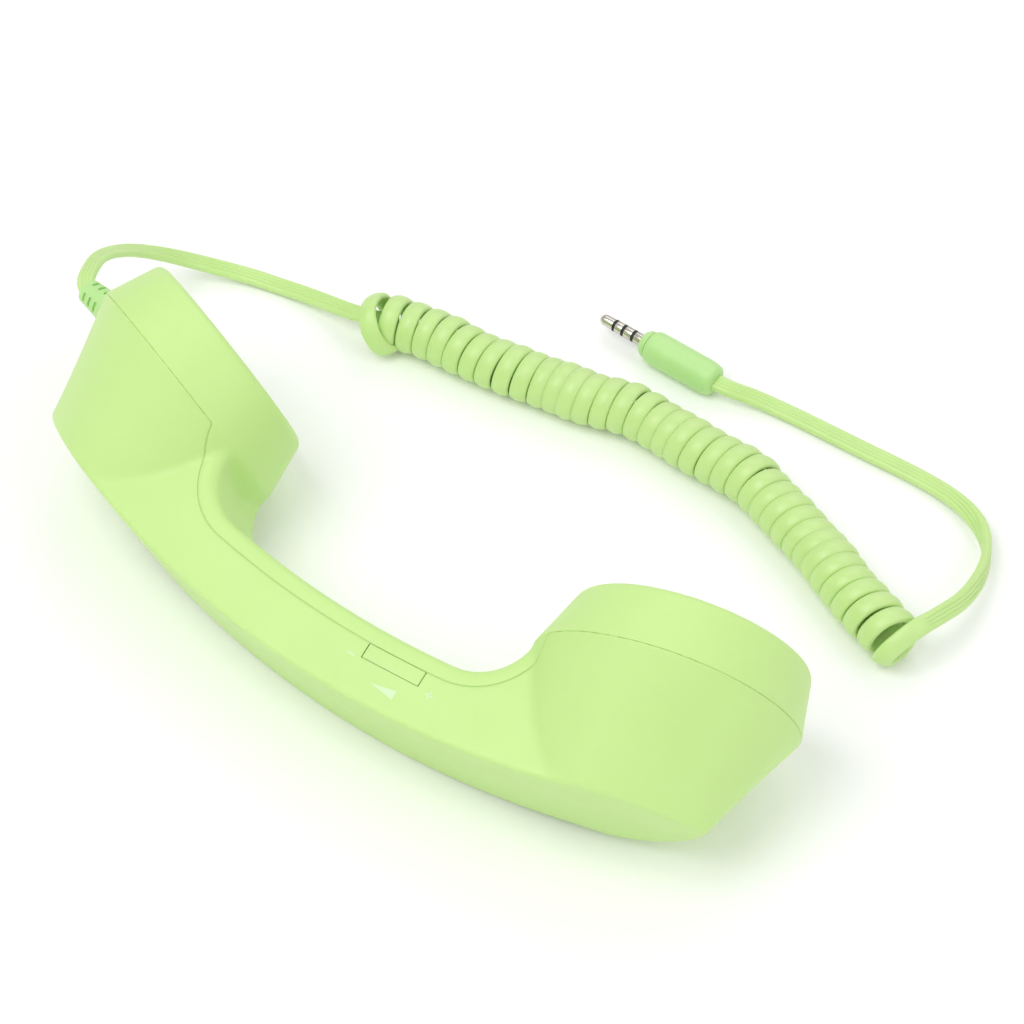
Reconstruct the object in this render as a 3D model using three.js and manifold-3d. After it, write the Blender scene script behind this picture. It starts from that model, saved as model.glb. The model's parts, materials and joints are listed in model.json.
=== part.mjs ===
// Retro telephone handset for a mobile phone, with a curly cord and a 3.5 mm four-pole plug.
// Millimetres, +Z up. The handset lies on its side as it rests on a table. Its length runs along X,
// from the mouthpiece (-X) to the earpiece (+X), and both faces point towards +Y.
//
// The handset is built in its own frame (u, v, w) = (length, back to front, across). The whole group
// is then tilted about X by the angle at which it comes to rest on its two cups and its back.

import * as THREE from "three";
import { mergeVertices } from "three/addons/utils/BufferGeometryUtils.js";
import Module from "manifold-3d";

const wasm = await Module();
wasm.setup();

// ---------------------------------------------------------------- driving dimensions: handset
const CUP_U = 77.4; // centre of each cup's parting ring, from the middle of the handset
const FACE_TILT = THREE.MathUtils.degToRad(16.3); // the two faces lean towards each other
const CUP_R = 33.5; // parting ring, where the cup is widest
const CAP_HEIGHT = 15.8; // parting ring to face
const RIM_R = 29.0; // edge of the face
const RIM_SHIFT = 1.9; // the face sits this much further out than the parting ring
const TAPER_LENGTH = 0.24; // radius lost per mm behind the parting ring, along the handset
const TAPER_WIDTH = 0.5; // and across it
const BACK_LEAN = 0.2; // the cup's centre moves in by this much per mm behind the parting ring
const BACK_EXPONENT = 1.48; // the round section turns into this superellipse at the back
const BACK_DEPTH = 32; // depth at which it has done so
const BACK_V = -45.3; // lowest point of the curved back
const BACK_ARC_R = 264;
const HANDLE_HALF = 16; // half the handle's width
const SEAM_V = -31.1; // parting line at the middle of the handle
const SEAM_ARC_R = 270;
const SEAM_FILLET_R = 20; // parting line's bend up to the cups
const SEAM_FILLET_U = 33.2;
const SEAM_DROP = 4.8; // parting line to the handle's inner surface
const INNER_ROUND = 3.5; // rounded long edges of the handle, finger side
const BACK_ROUND = 0.8;
const RIM_ROUND = 2;
const WALL = 2.2;
const PARTING_GAP = 0.3;
const REST_TILT = THREE.MathUtils.degToRad(21.7); // lying on both cups and the handle's back edge

// ---------------------------------------------------------------- driving dimensions: what the shells hold
const FACE_INSIDE = CAP_HEIGHT - WALL; // inner side of a face, above the parting ring
const SPEAKER_SCREW_R = 22.4; // circle of the three clamp screws
const MIC_SCREW_X = 11;
const BOARD_V = -34.8; // underside of the control board
const BOARD_THICKNESS = 1.2;
const BOARD_TOP = BOARD_V + BOARD_THICKNESS;
const BOARD_SCREW_U = [-34, 38];
const BALLAST_SCREW_U = [-18, 18];
const BALLAST_TOP = -35.4;
const BALLAST_V = -39.8;
const SCREW_HOLE_R = 1.05; // moulded pilot hole
const SHANK_R = 0.8;
const BUTTON_HALF = [6, 3.25]; // answer button, along and across the handle
const BUTTON_PROUD = 0.6;
const HANDLE_FRONT_V = SEAM_V + SEAM_DROP; // finger side at the middle of the handle
const ROCKER_U = 23.3; // volume rocker in the handle's side
const ROCKER_HALF = 8.15;
const ROCKER_DEEP = 3.85; // its far edge, behind the parting line
const ROCKER_GAP = 0.35;
const ROCKER_PIN_W = 12;
const PIN_R = 0.7;
const RELIEF_ANGLE = THREE.MathUtils.degToRad(7.6); // strain relief, up from the handset's length
const RELIEF_BEHIND = 0.95; // its axis passes this far behind the parting ring
const RELIEF_LENGTH = 11.8;

// ---------------------------------------------------------------- driving dimensions: cord and plug
const LEAD_R = 1.8; // plain round stand-in of the flat 5 x 2.5 mm cord
const COIL_R = 7.4; // outside of the curly cord
const PLUG_R = 1.75; // 3.5 mm plug
const PLUG_LENGTH = 14.5;
const GRIP_R = 4.75;
const GRIP_LENGTH = 24.8;
const PLUG_SHOULDER = [-14.6, 122.3, GRIP_R]; // where the metal meets the grip; the plug points to -X
// Where the cord lies. From the strain relief it drops to the table and runs to the curly part.
const LEAD_ROUTE = [
  [-123.6, 20.3, 35.2], [-125.0, 22.2, 35.4], [-126.6, 24.9, 35.0], [-128.7, 28.3, 33.8], [-131.0, 32.4, 31.9],
  [-132.8, 37.0, 29.2], [-134.1, 41.7, 25.9], [-134.8, 46.7, 22.3], [-134.8, 51.7, 18.4], [-134.1, 56.4, 14.6],
  [-132.7, 61.0, 10.9], [-130.3, 65.3, 7.6], [-126.7, 69.2, 5.0], [-121.7, 72.7, 3.2], [-115.6, 75.5, 2.3],
  [-108.5, 77.5, 2.0], [-101.3, 78.8, 2.6], [-94.0, 79.3, 3.8], [-87.0, 79.2, 5.4], [-81.5, 79.2, 6.8],
  [-77.9, 79.8, 7.3],
];
const COIL_ROUTE = [
  [-77.0, 80.2, 7.45], [-70.0, 82.6, 7.45], [-62.5, 84.8, 7.45], [-54.0, 86.4, 7.45], [-44.5, 87.3, 7.45],
  [-36.0, 88.2, 7.45], [-27.5, 90.0, 7.45], [-19.5, 92.1, 7.45], [-10.5, 93.9, 7.45], [-2.0, 96.0, 7.45],
  [5.5, 97.4, 7.45], [14.0, 97.8, 7.45], [24.0, 97.5, 7.45], [34.0, 97.2, 7.45], [43.5, 96.1, 7.45],
  [52.0, 94.0, 7.45], [60.5, 91.1, 7.45], [69.0, 87.7, 7.45], [77.5, 84.3, 7.45], [86.0, 81.1, 7.45],
  [94.0, 78.2, 7.45], [101.0, 75.9, 7.45],
];
const PLUG_LEAD_ROUTE = [
  [13.0, 122.4, 4.6], [20.2, 125.3, 3.2], [27.4, 127.1, 2.1], [34.2, 127.9, 1.9], [46.6, 128.7, 1.9],
  [56.0, 129.3, 1.9], [65.4, 130.0, 1.9], [74.4, 130.2, 2.0], [81.6, 129.5, 2.4], [87.4, 127.9, 2.9],
  [92.8, 125.2, 3.5], [97.6, 121.2, 4.2], [101.4, 115.8, 5.0], [104.2, 109.1, 6.4], [106.0, 101.6, 8.2],
  [106.7, 94.6, 10.0], [106.2, 88.4, 11.5], [105.2, 82.2, 12.6],
];

// ---------------------------------------------------------------- finishes
const finish = (color, roughness, metalness = 0) => new THREE.MeshStandardMaterial({ color, roughness, metalness });
const paint = {
  shell: finish(0xcdec9a, 0.5),
  mint: finish(0xb9e6ae, 0.5),
  cord: finish(0xbfe89a, 0.45),
  steel: finish(0x9a9da0, 0.4, 1),
  plated: finish(0xd8d4c8, 0.2, 1),
  black: finish(0x151515, 0.55),
  board: finish(0x1f6b3a, 0.45),
  paper: finish(0xd9d4c2, 0.6),
  foam: finish(0x2a2a2c, 0.95),
  copper: finish(0xb4683a, 0.35, 1),
  red: finish(0xb02a22, 0.5),
  white: finish(0xe8e6e0, 0.5),
};

// ---------------------------------------------------------------- solids
function solid(geometry) {
  const bare = geometry.index ? geometry.toNonIndexed() : geometry.clone();
  for (const name of Object.keys(bare.attributes)) if (name !== "position") bare.deleteAttribute(name);
  const merged = mergeVertices(bare, 1e-4);
  const triVerts = new Uint32Array(merged.index.array);
  return new wasm.Manifold(new wasm.Mesh({ numProp: 3, vertProperties: merged.attributes.position.array, triVerts }));
}

function geometryOf(body) {
  const { vertProperties, triVerts } = body.getMesh();
  const geometry = new THREE.BufferGeometry();
  geometry.setAttribute("position", new THREE.BufferAttribute(vertProperties, 3));
  geometry.setIndex(new THREE.BufferAttribute(triVerts, 1));
  return geometry;
}

function mesh(name, geometry, material) {
  const made = new THREE.Mesh(geometry, material);
  made.name = name;
  return made;
}

const cut = (body, ...geometries) => geometries.reduce((left, tool) => left.subtract(solid(tool)), body);
const join = (body, ...geometries) => geometries.reduce((left, more) => left.add(solid(more)), body);

// Closed skin through a list of rings, each with the same number of points.
function loft(rings) {
  const count = rings[0].length;
  const last = (rings.length - 1) * count;
  const middle = (ring) => ring.reduce((sum, p) => sum.add(p), new THREE.Vector3()).divideScalar(count);
  const points = [...rings.flat(), middle(rings[0]), middle(rings.at(-1))];
  const index = [];
  for (let i = 0; i < count; i++) {
    const j = (i + 1) % count;
    for (let start = 0; start < last; start += count)
      index.push(start + i, start + j, start + j + count, start + i, start + j + count, start + i + count);
    index.push(last + count, j, i, last + count + 1, last + i, last + j);
  }
  const geometry = new THREE.BufferGeometry().setFromPoints(points);
  geometry.setIndex(index);
  return geometry;
}

// Plate with the outline [x, y] points, from z = low to z = high.
function plate(outline, low, high) {
  const shape = new THREE.Shape(outline.map(([x, y]) => new THREE.Vector2(x, y)));
  return new THREE.ExtrudeGeometry(shape, { depth: high - low, bevelEnabled: false }).translate(0, 0, low);
}

// Bar between two corners.
function bar([x0, y0, z0], [x1, y1, z1]) {
  return new THREE.BoxGeometry(x1 - x0, y1 - y0, z1 - z0).translate((x0 + x1) / 2, (y0 + y1) / 2, (z0 + z1) / 2);
}

// Solid of revolution about Z through [radius, height] points listed upwards.
function turned(profile, sides = 20) {
  return new THREE.LatheGeometry(profile.map(([r, z]) => new THREE.Vector2(r, z)), sides).rotateX(Math.PI / 2);
}

const disc = (r, low, high, sides) => turned([[0, low], [r, low], [r, high], [0, high]], sides);
const ring = (inner, outer, low, high, sides) =>
  turned([[inner, low], [outer, low], [outer, high], [inner, high], [inner, low]], sides);
const screw = (headR, shankR, headHeight, length) =>
  turned([[0, -length], [shankR, -length], [shankR, 0], [headR, 0], [headR, headHeight], [0, headHeight]], 8);

// Round rod along a smooth route.
function rod(route, radius, sides, steps) {
  const extrudePath = new THREE.CatmullRomCurve3(route.map((p) => new THREE.Vector3(...p)), false, "centripetal");
  const rim = Array.from({ length: sides }, (_, i) => new THREE.Vector2(...polar(radius, (2 * Math.PI * i) / sides)));
  return new THREE.ExtrudeGeometry(new THREE.Shape(rim), { steps, bevelEnabled: false, extrudePath });
}

// Outline with round ends.
function oblong(halfLength, halfWidth) {
  const turns = [-2, -1, 0, 1, 2].map((i) => (Math.PI / 4) * i);
  const right = turns.map((angle) => polar(halfWidth, angle)).map(([x, y]) => [halfLength - halfWidth + x, y]);
  return [...right, ...right.map(([x, y]) => [-x, -y])];
}

// ---------------------------------------------------------------- placing
const deg = THREE.MathUtils.degToRad;
const polar = (radius, angle) => [radius * Math.cos(angle), radius * Math.sin(angle)];
const alongV = (geometry) => geometry.rotateX(-Math.PI / 2); // z becomes v, y becomes -w

// A cup's own frame: x runs outwards along its face and z is the face's normal. side is +1 ear, -1 mouth.
function cupMatrix(side) {
  const outward = new THREE.Vector3(side * Math.cos(FACE_TILT), Math.sin(FACE_TILT), 0);
  const normal = new THREE.Vector3(-side * Math.sin(FACE_TILT), Math.cos(FACE_TILT), 0);
  const across = new THREE.Vector3().crossVectors(normal, outward);
  return new THREE.Matrix4().makeBasis(outward, across, normal).setPosition(side * CUP_U, 0, 0);
}

const inCup = (side, geometry) => geometry.applyMatrix4(cupMatrix(side));

// Frame on the handle's parting line: x along it, y towards the finger side, z across the handle.
function seamMatrix(u) {
  const angle = Math.asin(u / SEAM_ARC_R);
  const [v] = polar(SEAM_ARC_R, angle);
  return new THREE.Matrix4().makeRotationZ(angle).setPosition(u, ARC_CENTRE_V - v, 0);
}

const onSeam = (u, geometry) => geometry.applyMatrix4(seamMatrix(u));

// Frame of the strain relief: z runs out of the mouthpiece along the cord, 0 at the parting ring.
function reliefMatrix() {
  const root = new THREE.Vector3(CUP_R, 0, -RELIEF_BEHIND).applyMatrix4(cupMatrix(-1));
  const out = new THREE.Vector3(-Math.cos(RELIEF_ANGLE), Math.sin(RELIEF_ANGLE), 0);
  const turn = new THREE.Quaternion().setFromUnitVectors(new THREE.Vector3(0, 0, 1), out);
  return new THREE.Matrix4().makeRotationFromQuaternion(turn).setPosition(root);
}

function framed(matrix, ...meshes) {
  const group = new THREE.Group();
  group.applyMatrix4(matrix);
  return group.add(...meshes);
}

// ---------------------------------------------------------------- handset surfaces
const ARC_CENTRE_V = SEAM_V + SEAM_ARC_R;
const FILLET_V = ARC_CENTRE_V - Math.sqrt((SEAM_ARC_R - SEAM_FILLET_R) ** 2 - SEAM_FILLET_U ** 2);
const BEND = Math.asin(SEAM_FILLET_U / (SEAM_ARC_R - SEAM_FILLET_R)); // where arc and fillet meet
const backV = (u, inset = 0) => BACK_V + BACK_ARC_R - Math.sqrt((BACK_ARC_R - inset) ** 2 - u * u);

// Section of a cup at a height along its axis.
function cupRing(height, inset, sides) {
  const front = height >= 0;
  const t = height / CAP_HEIGHT;
  const length = (front ? CUP_R + (RIM_R - CUP_R) * t : CUP_R + TAPER_LENGTH * height) - inset;
  const width = (front ? CUP_R + (RIM_R - CUP_R) * t : CUP_R + TAPER_WIDTH * height) - inset;
  const shift = front ? RIM_SHIFT * t : BACK_LEAN * height;
  const exponent = front ? 2 : 2 + (BACK_EXPONENT - 2) * Math.min(1, -height / BACK_DEPTH);
  const power = (c) => Math.sign(c) * Math.abs(c) ** (2 / exponent);
  return Array.from({ length: sides }, (_, i) => {
    const [x, y] = polar(1, (2 * Math.PI * i) / sides);
    return new THREE.Vector3(length * power(x) + shift, width * power(y), height);
  });
}

// A cup whose tapering back runs on past the curved back of the handset.
function cup(side, inset) {
  const top = CAP_HEIGHT - inset;
  const sides = inset ? 24 : 40;
  const levels = [-44, -32, -24, -16, -8, 0].map((height) => [height, inset]);
  if (!inset) levels.push([top - RIM_ROUND, 0], [top - 0.3 * RIM_ROUND, 0.3 * RIM_ROUND]);
  levels.push([top, inset || RIM_ROUND]);
  const rings = levels.map(([height, depth]) => cupRing(height, depth, sides));
  return solid(inCup(side, loft(rings)));
}

// Inner surface of the handle: points with the direction straight into the material.
function handleStations(inset) {
  const stations = [];
  const station = (u0, v0, radius, angle) => {
    const into = new THREE.Vector2(Math.sin(angle), -Math.cos(angle));
    stations.push({ at: new THREE.Vector2(u0, v0).addScaledVector(into, radius), into });
  };
  for (let i = 0; i < 5; i++) station(0, ARC_CENTRE_V, SEAM_ARC_R - SEAM_DROP + inset, (BEND * i) / 5);
  for (let i = 0; i <= 10; i++)
    station(SEAM_FILLET_U, FILLET_V, SEAM_FILLET_R - SEAM_DROP + inset, BEND + ((Math.PI / 2 - BEND) * i) / 10);
  const mirrored = stations.slice(1).reverse().map(({ at, into }) => ({
    at: new THREE.Vector2(-at.x, at.y),
    into: new THREE.Vector2(-into.x, into.y),
  }));
  return [...mirrored, ...stations];
}

// Distance from a station to the curved back, or to the line inside a cup where the handle ends.
function handleDepth({ at, into }, inset) {
  const end = CUP_U - 1.5;
  const toEnd = into.x ? (Math.sign(into.x) * end - at.x) / into.x : Infinity;
  const from = new THREE.Vector2(at.x, at.y - BACK_V - BACK_ARC_R);
  const along = from.dot(into);
  const toBack = -along + Math.sqrt(along ** 2 - from.lengthSq() + (BACK_ARC_R - inset) ** 2);
  return Math.min(toEnd, toBack);
}

function handle(inset) {
  const half = HANDLE_HALF - inset;
  const round = Math.max(INNER_ROUND - inset, 0.5);
  const corner = (inset ? [0, 1] : [0, 1 / 3, 2 / 3, 1]).map((part) => polar(round, (Math.PI / 2) * part));
  const rings = handleStations(inset).map((place) => {
    const depth = handleDepth(place, inset);
    const near = corner.map(([a, b]) => [round - b, half - round + a]).reverse();
    const side = [...near, [depth - BACK_ROUND, half], [depth, half - BACK_ROUND]];
    const section = [...side, ...side.map(([k, w]) => [k, -w]).reverse()];
    return section.map(([k, w]) => {
      const p = place.at.clone().addScaledVector(place.into, k);
      return new THREE.Vector3(p.x, p.y, w);
    });
  });
  return solid(loft(rings));
}

// Everything in front of the curved back.
function backRegion(inset) {
  const arc = Array.from({ length: 31 }, (_, i) => -120 + 8 * i).map((u) => [u, backV(u, inset)]);
  return solid(plate([...arc, [120, 60], [-120, 60]], -50, 50));
}

const handsetSolid = (inset) => cup(1, inset).add(cup(-1, inset)).intersect(backRegion(inset)).add(handle(inset));

// Everything in front of the parting line, moved forward by offset.
function frontRegion(offset) {
  const radius = SEAM_FILLET_R - offset;
  const onRing = (x) => new THREE.Vector3(x, 0, offset).applyMatrix4(cupMatrix(1));
  const from = onRing(0).sub(new THREE.Vector3(SEAM_FILLET_U, FILLET_V, 0));
  const outward = onRing(1).sub(onRing(0));
  const along = from.dot(outward);
  const meet = onRing(-along + Math.sqrt(along ** 2 - from.lengthSq() + radius ** 2));
  const top = Math.atan2(meet.x - SEAM_FILLET_U, FILLET_V - meet.y);
  const half = [];
  for (let i = 0; i < 5; i++) {
    const [v, u] = polar(SEAM_ARC_R - offset, (BEND * i) / 5);
    half.push([u, ARC_CENTRE_V - v]);
  }
  for (let i = 0; i <= 10; i++) {
    const [v, u] = polar(radius, BEND + ((top - BEND) * i) / 10);
    half.push([SEAM_FILLET_U + u, FILLET_V - v]);
  }
  const end = onRing(60);
  half.push([end.x, end.y]);
  const left = half.slice(1).reverse().map(([u, v]) => [-u, v]);
  return solid(plate([...left, ...half, [130, 80], [-130, 80]], -50, 50));
}

// ---------------------------------------------------------------- shells
const pilot = (x, y, low, high) => disc(SCREW_HOLE_R, low, high, 8).translate(x, y, 0);
const boss = (x, y, radius, low, high) => disc(radius, low, high, 12).translate(x, y, 0);
const speakerScrews = [90, 210, 330].map((angle) => polar(SPEAKER_SCREW_R, deg(angle)));
const micScrews = [[-MIC_SCREW_X, 0], [MIC_SCREW_X, 0]];
const BOSS_END = { speaker: 9.7, mic: 6.5 }; // height of the screw bosses' ends above the parting ring

// Rings of sound holes through a face.
function grille(rings) {
  return rings.flatMap(([count, radius]) =>
    Array.from({ length: count }, (_, i) => {
      const [x, y] = polar(radius, (2 * Math.PI * i) / count);
      return disc(1.2, FACE_INSIDE - 1, CAP_HEIGHT + 1, 8).translate(x, y, 0);
    })
  );
}

function reliefHole() {
  return disc(4.5, -7, 5, 16).applyMatrix4(reliefMatrix());
}

// Tongues that hold the front shell inside the back shell.
function tongues() {
  const places = [[-30, 1], [2, 1], [-30, -1], [0, -1], [30, -1]];
  return places.flatMap(([u, side]) => {
    const reach = [[-2.5, -5, 12.1], [2.5, 1.8, 13.4]];
    const root = [[-2.5, 0.8, 12.1], [2.5, 1.8, 14.5]];
    return [bar(...reach), bar(...root)].map((part) => onSeam(u, side > 0 ? part : part.rotateY(Math.PI)));
  });
}

function frontShell(shell) {
  let made = shell.intersect(frontRegion(PARTING_GAP / 2));
  made = join(made, ...speakerScrews.map(([x, y]) => inCup(1, boss(x, y, 2.6, BOSS_END.speaker, FACE_INSIDE + 0.8))));
  made = join(made, ...micScrews.map(([x, y]) => inCup(-1, boss(x, y, 2.6, BOSS_END.mic, FACE_INSIDE + 0.8))));
  made = join(made, ...tongues());
  const window = plate(oblong(BUTTON_HALF[0] + 0.35, BUTTON_HALF[1] + 0.35), HANDLE_FRONT_V - 4, HANDLE_FRONT_V + 2);
  made = cut(made, alongV(window), reliefHole());
  made = cut(made, ...speakerScrews.map(([x, y]) => inCup(1, pilot(x, y, BOSS_END.speaker - 1, FACE_INSIDE - 0.6))));
  made = cut(made, ...micScrews.map(([x, y]) => inCup(-1, pilot(x, y, BOSS_END.mic - 1, FACE_INSIDE - 0.6))));
  made = cut(made, ...grille([[1, 0], [6, 5.4], [12, 10.8]]).map((hole) => inCup(1, hole)));
  return cut(made, ...grille([[1, 0], [6, 4.8]]).map((hole) => inCup(-1, hole)));
}

const BRACKET = { half: 1.6, floor: 9, low: -5.9, high: 1.3 };

// U-shaped bracket behind the rocker, on the handle's side wall.
function rockerBracket() {
  const { half, floor, low, high } = BRACKET;
  const lowerEar = bar([-half, low, floor], [half, -4.3, HANDLE_HALF - 1.5]);
  const bridge = bar([-half, low, floor], [half, high, floor + 0.9]);
  const upperEar = bar([-half, 0, floor], [half, high, ROCKER_PIN_W + 1.2]);
  return [lowerEar, bridge, upperEar].map((part) => onSeam(ROCKER_U, part));
}

// Cylinder along the rocker's pin axis.
function pinBar(radius, low, high) {
  return disc(radius, low, high, 12).rotateX(-Math.PI / 2).translate(0, 0, ROCKER_PIN_W);
}

function backShell(shell) {
  let made = shell.subtract(frontRegion(-PARTING_GAP / 2));
  made = join(made, ...BOARD_SCREW_U.map((u) => alongV(boss(u, 0, 2.6, -41.4, BOARD_V - 0.3))));
  made = join(made, ...BALLAST_SCREW_U.map((u) => alongV(boss(u, 0, 3, -43.4, BALLAST_V - 0.3))));
  made = join(made, ...rockerBracket());
  const reach = ROCKER_HALF + ROCKER_GAP;
  const window = onSeam(ROCKER_U, bar([-reach, -ROCKER_DEEP - 0.3, 13.3], [reach, 1, 20]));
  made = cut(made, window, reliefHole(), onSeam(ROCKER_U, pinBar(PIN_R + 0.25, -7, 2)));
  made = cut(made, ...BOARD_SCREW_U.map((u) => alongV(pilot(u, 0, -39.8, BOARD_V))));
  return cut(made, ...BALLAST_SCREW_U.map((u) => alongV(pilot(u, 0, -42.8, BALLAST_V))));
}

function shells() {
  const shell = handsetSolid(0).subtract(handsetSolid(WALL));
  return [
    mesh("front_shell", geometryOf(frontShell(shell)), paint.shell),
    mesh("back_shell", geometryOf(backShell(shell)), paint.shell),
  ];
}

// ---------------------------------------------------------------- ear cup
function clampRing() {
  const made = solid(ring(17, SPEAKER_SCREW_R + 2, 7.9, 9.3, 28));
  return geometryOf(cut(made, ...speakerScrews.map(([x, y]) => disc(1.3, 7, 10, 10).translate(x, y, 0))));
}

// Screw driven towards a face, its head's underside at the given height.
function faceScrew(name, [x, y], height, length) {
  const made = mesh(name, screw(2, SHANK_R, 1.4, length), paint.steel);
  made.rotation.x = Math.PI;
  made.position.set(x, y, height);
  return made;
}

function earParts() {
  const basket = [[7.2, 4.6], [10.3, 4.6], [16.2, 9.6], [19, 9.6], [19, 10.8], [15.2, 10.8], [9.6, 5.8], [7.2, 5.8]];
  const diaphragm = [
    [0, 8.1], [4, 7.5], [6.6, 6], [14.2, 11.1], [16.2, 11.1], [16.2, 11.5], [14, 11.5], [6.6, 6.5], [4, 8], [0, 8.6],
  ];
  const yoke = [[0, -1.1], [9.5, -1.1], [9.5, 0.1], [5, 0.1], [5, 4.7], [0, 4.7]];
  return framed(
    cupMatrix(1),
    mesh("ear_dust_mesh", disc(17, 12.9, 13.3), paint.black),
    mesh("speaker_gasket", ring(16.5, 19, 11.1, 12.6), paint.foam),
    mesh("speaker_frame", turned([...basket, basket[0]]), paint.steel),
    mesh("speaker_diaphragm", turned(diaphragm), paint.paper),
    mesh("voice_coil", ring(5.6, 6.3, 1.5, 5.7), paint.copper),
    mesh("speaker_magnet", ring(6.9, 9.3, 0.4, 4), paint.black),
    mesh("speaker_yoke", turned(yoke), paint.steel),
    mesh("speaker_clamp", clampRing(), paint.steel),
    ...speakerScrews.map((at, i) => faceScrew(`speaker_screw_${i + 1}`, at, 7.6, 4.6))
  );
}

// ---------------------------------------------------------------- mouth cup
function micHolder() {
  const plateBody = join(solid(disc(7, 5, 6.2)), bar([-14, -2.6, 5], [14, 2.6, 6.2]));
  const holes = micScrews.map(([x, y]) => disc(1.3, 4, 7, 10).translate(x, y, 0));
  return geometryOf(cut(plateBody, disc(2.4, 4, 7, 12), ...holes));
}

function mouthParts() {
  return framed(
    cupMatrix(-1),
    mesh("mouth_dust_mesh", disc(8, 12.9, 13.3), paint.black),
    mesh("mic_boot", ring(5.15, 6.2, 6.8, 12.6, 20), paint.foam),
    mesh("mic_capsule", disc(4.85, 6.5, 12.2, 20), paint.steel),
    mesh("mic_holder", micHolder(), paint.black),
    ...micScrews.map((at, i) => faceScrew(`mic_screw_${i + 1}`, at, 4.7, 5.6))
  );
}

// ---------------------------------------------------------------- handle
function handleScrew(name, u, seat, length) {
  const made = mesh(name, screw(1.8, SHANK_R, 1.3, length), paint.steel);
  made.rotation.x = -Math.PI / 2;
  made.position.set(u, seat, 0);
  return made;
}

function controlBoard() {
  const made = solid(bar([-38, BOARD_V, -8], [42, BOARD_TOP, 8]));
  const holes = BOARD_SCREW_U.map((u) => alongV(disc(1.2, BOARD_V - 1, BOARD_TOP + 1, 12).translate(u, 0, 0)));
  return geometryOf(cut(made, ...holes));
}

function ballast() {
  const made = solid(bar([-25, BALLAST_V, -9], [25, BALLAST_TOP, 9]));
  const holes = BALLAST_SCREW_U.flatMap((u) => [
    alongV(disc(1.2, BALLAST_V - 1, BALLAST_TOP, 12).translate(u, 0, 0)),
    alongV(disc(2.2, BALLAST_TOP - 1.7, BALLAST_TOP + 1, 12).translate(u, 0, 0)),
  ]);
  return geometryOf(cut(made, ...holes));
}

function answerButton() {
  const front = HANDLE_FRONT_V + BUTTON_PROUD;
  const flangeTop = HANDLE_FRONT_V - WALL - 0.3;
  const cap = solid(plate(oblong(...BUTTON_HALF), flangeTop - 0.8, front));
  const flange = plate(oblong(BUTTON_HALF[0] + 1.2, BUTTON_HALF[1] + 1.2), flangeTop - 0.8, flangeTop);
  return alongV(geometryOf(join(cap, flange, disc(1.5, flangeTop - 1.5, flangeTop - 0.4, 12))));
}

function answerSwitch() {
  const low = BOARD_TOP + 0.3;
  const block = bar([-3, low, -3], [3, low + 2, 3]);
  return geometryOf(cut(solid(block), alongV(disc(1.9, low - 1, low + 3, 16))));
}

function rocker() {
  const top = HANDLE_HALF + 0.1;
  const keyplate = solid(bar([-ROCKER_HALF, -ROCKER_DEEP, top - 2.6], [ROCKER_HALF, -PARTING_GAP / 2, top]));
  const knuckle = bar([-1.5, -3.7, ROCKER_PIN_W - 1.4], [1.5, -0.4, top - 1]);
  const pads = [-5.8, 5.8].map((t) => bar([t - 0.8, -3.2, ROCKER_PIN_W - 0.1], [t + 0.8, -1, top - 1]));
  return geometryOf(cut(join(keyplate, knuckle, ...pads), pinBar(PIN_R + 0.25, -6, 2)));
}

// Side-pressed switch on the board, its stem pointing at one of the rocker's pads.
function sideSwitch(u) {
  const tee = [[-2.2, 4.2], [2.2, 4.2], [2.2, 7.9], [0.8, 7.9], [0.8, 11.4], [-0.8, 11.4], [-0.8, 7.9], [-2.2, 7.9]];
  const outline = tee.map(([x, w]) => [u + x, -w]).reverse();
  return alongV(plate(outline, BOARD_TOP + 0.3, BOARD_TOP + 2));
}

function handleParts() {
  return [
    mesh("control_board", controlBoard(), paint.board),
    ...BOARD_SCREW_U.map((u, i) => handleScrew(`board_screw_${i + 1}`, u, BOARD_TOP + 0.15, 5.8)),
    mesh("ballast_weight", ballast(), paint.steel),
    ...BALLAST_SCREW_U.map((u, i) => handleScrew(`ballast_screw_${i + 1}`, u, BALLAST_TOP - 1.5, 5.2)),
    mesh("answer_button", answerButton(), paint.shell),
    mesh("answer_switch", answerSwitch(), paint.black),
    mesh("answer_switch_stem", alongV(disc(1.6, BOARD_TOP + 1, BOARD_TOP + 3, 16)), paint.white),
    framed(
      seamMatrix(ROCKER_U),
      mesh("volume_rocker", rocker(), paint.shell),
      mesh("rocker_pin", pinBar(PIN_R, -5.6, 1), paint.steel)
    ),
    mesh("volume_switch_down", sideSwitch(ROCKER_U - 5.8), paint.black),
    mesh("volume_switch_up", sideSwitch(ROCKER_U + 5.8), paint.black),
  ];
}

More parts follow.
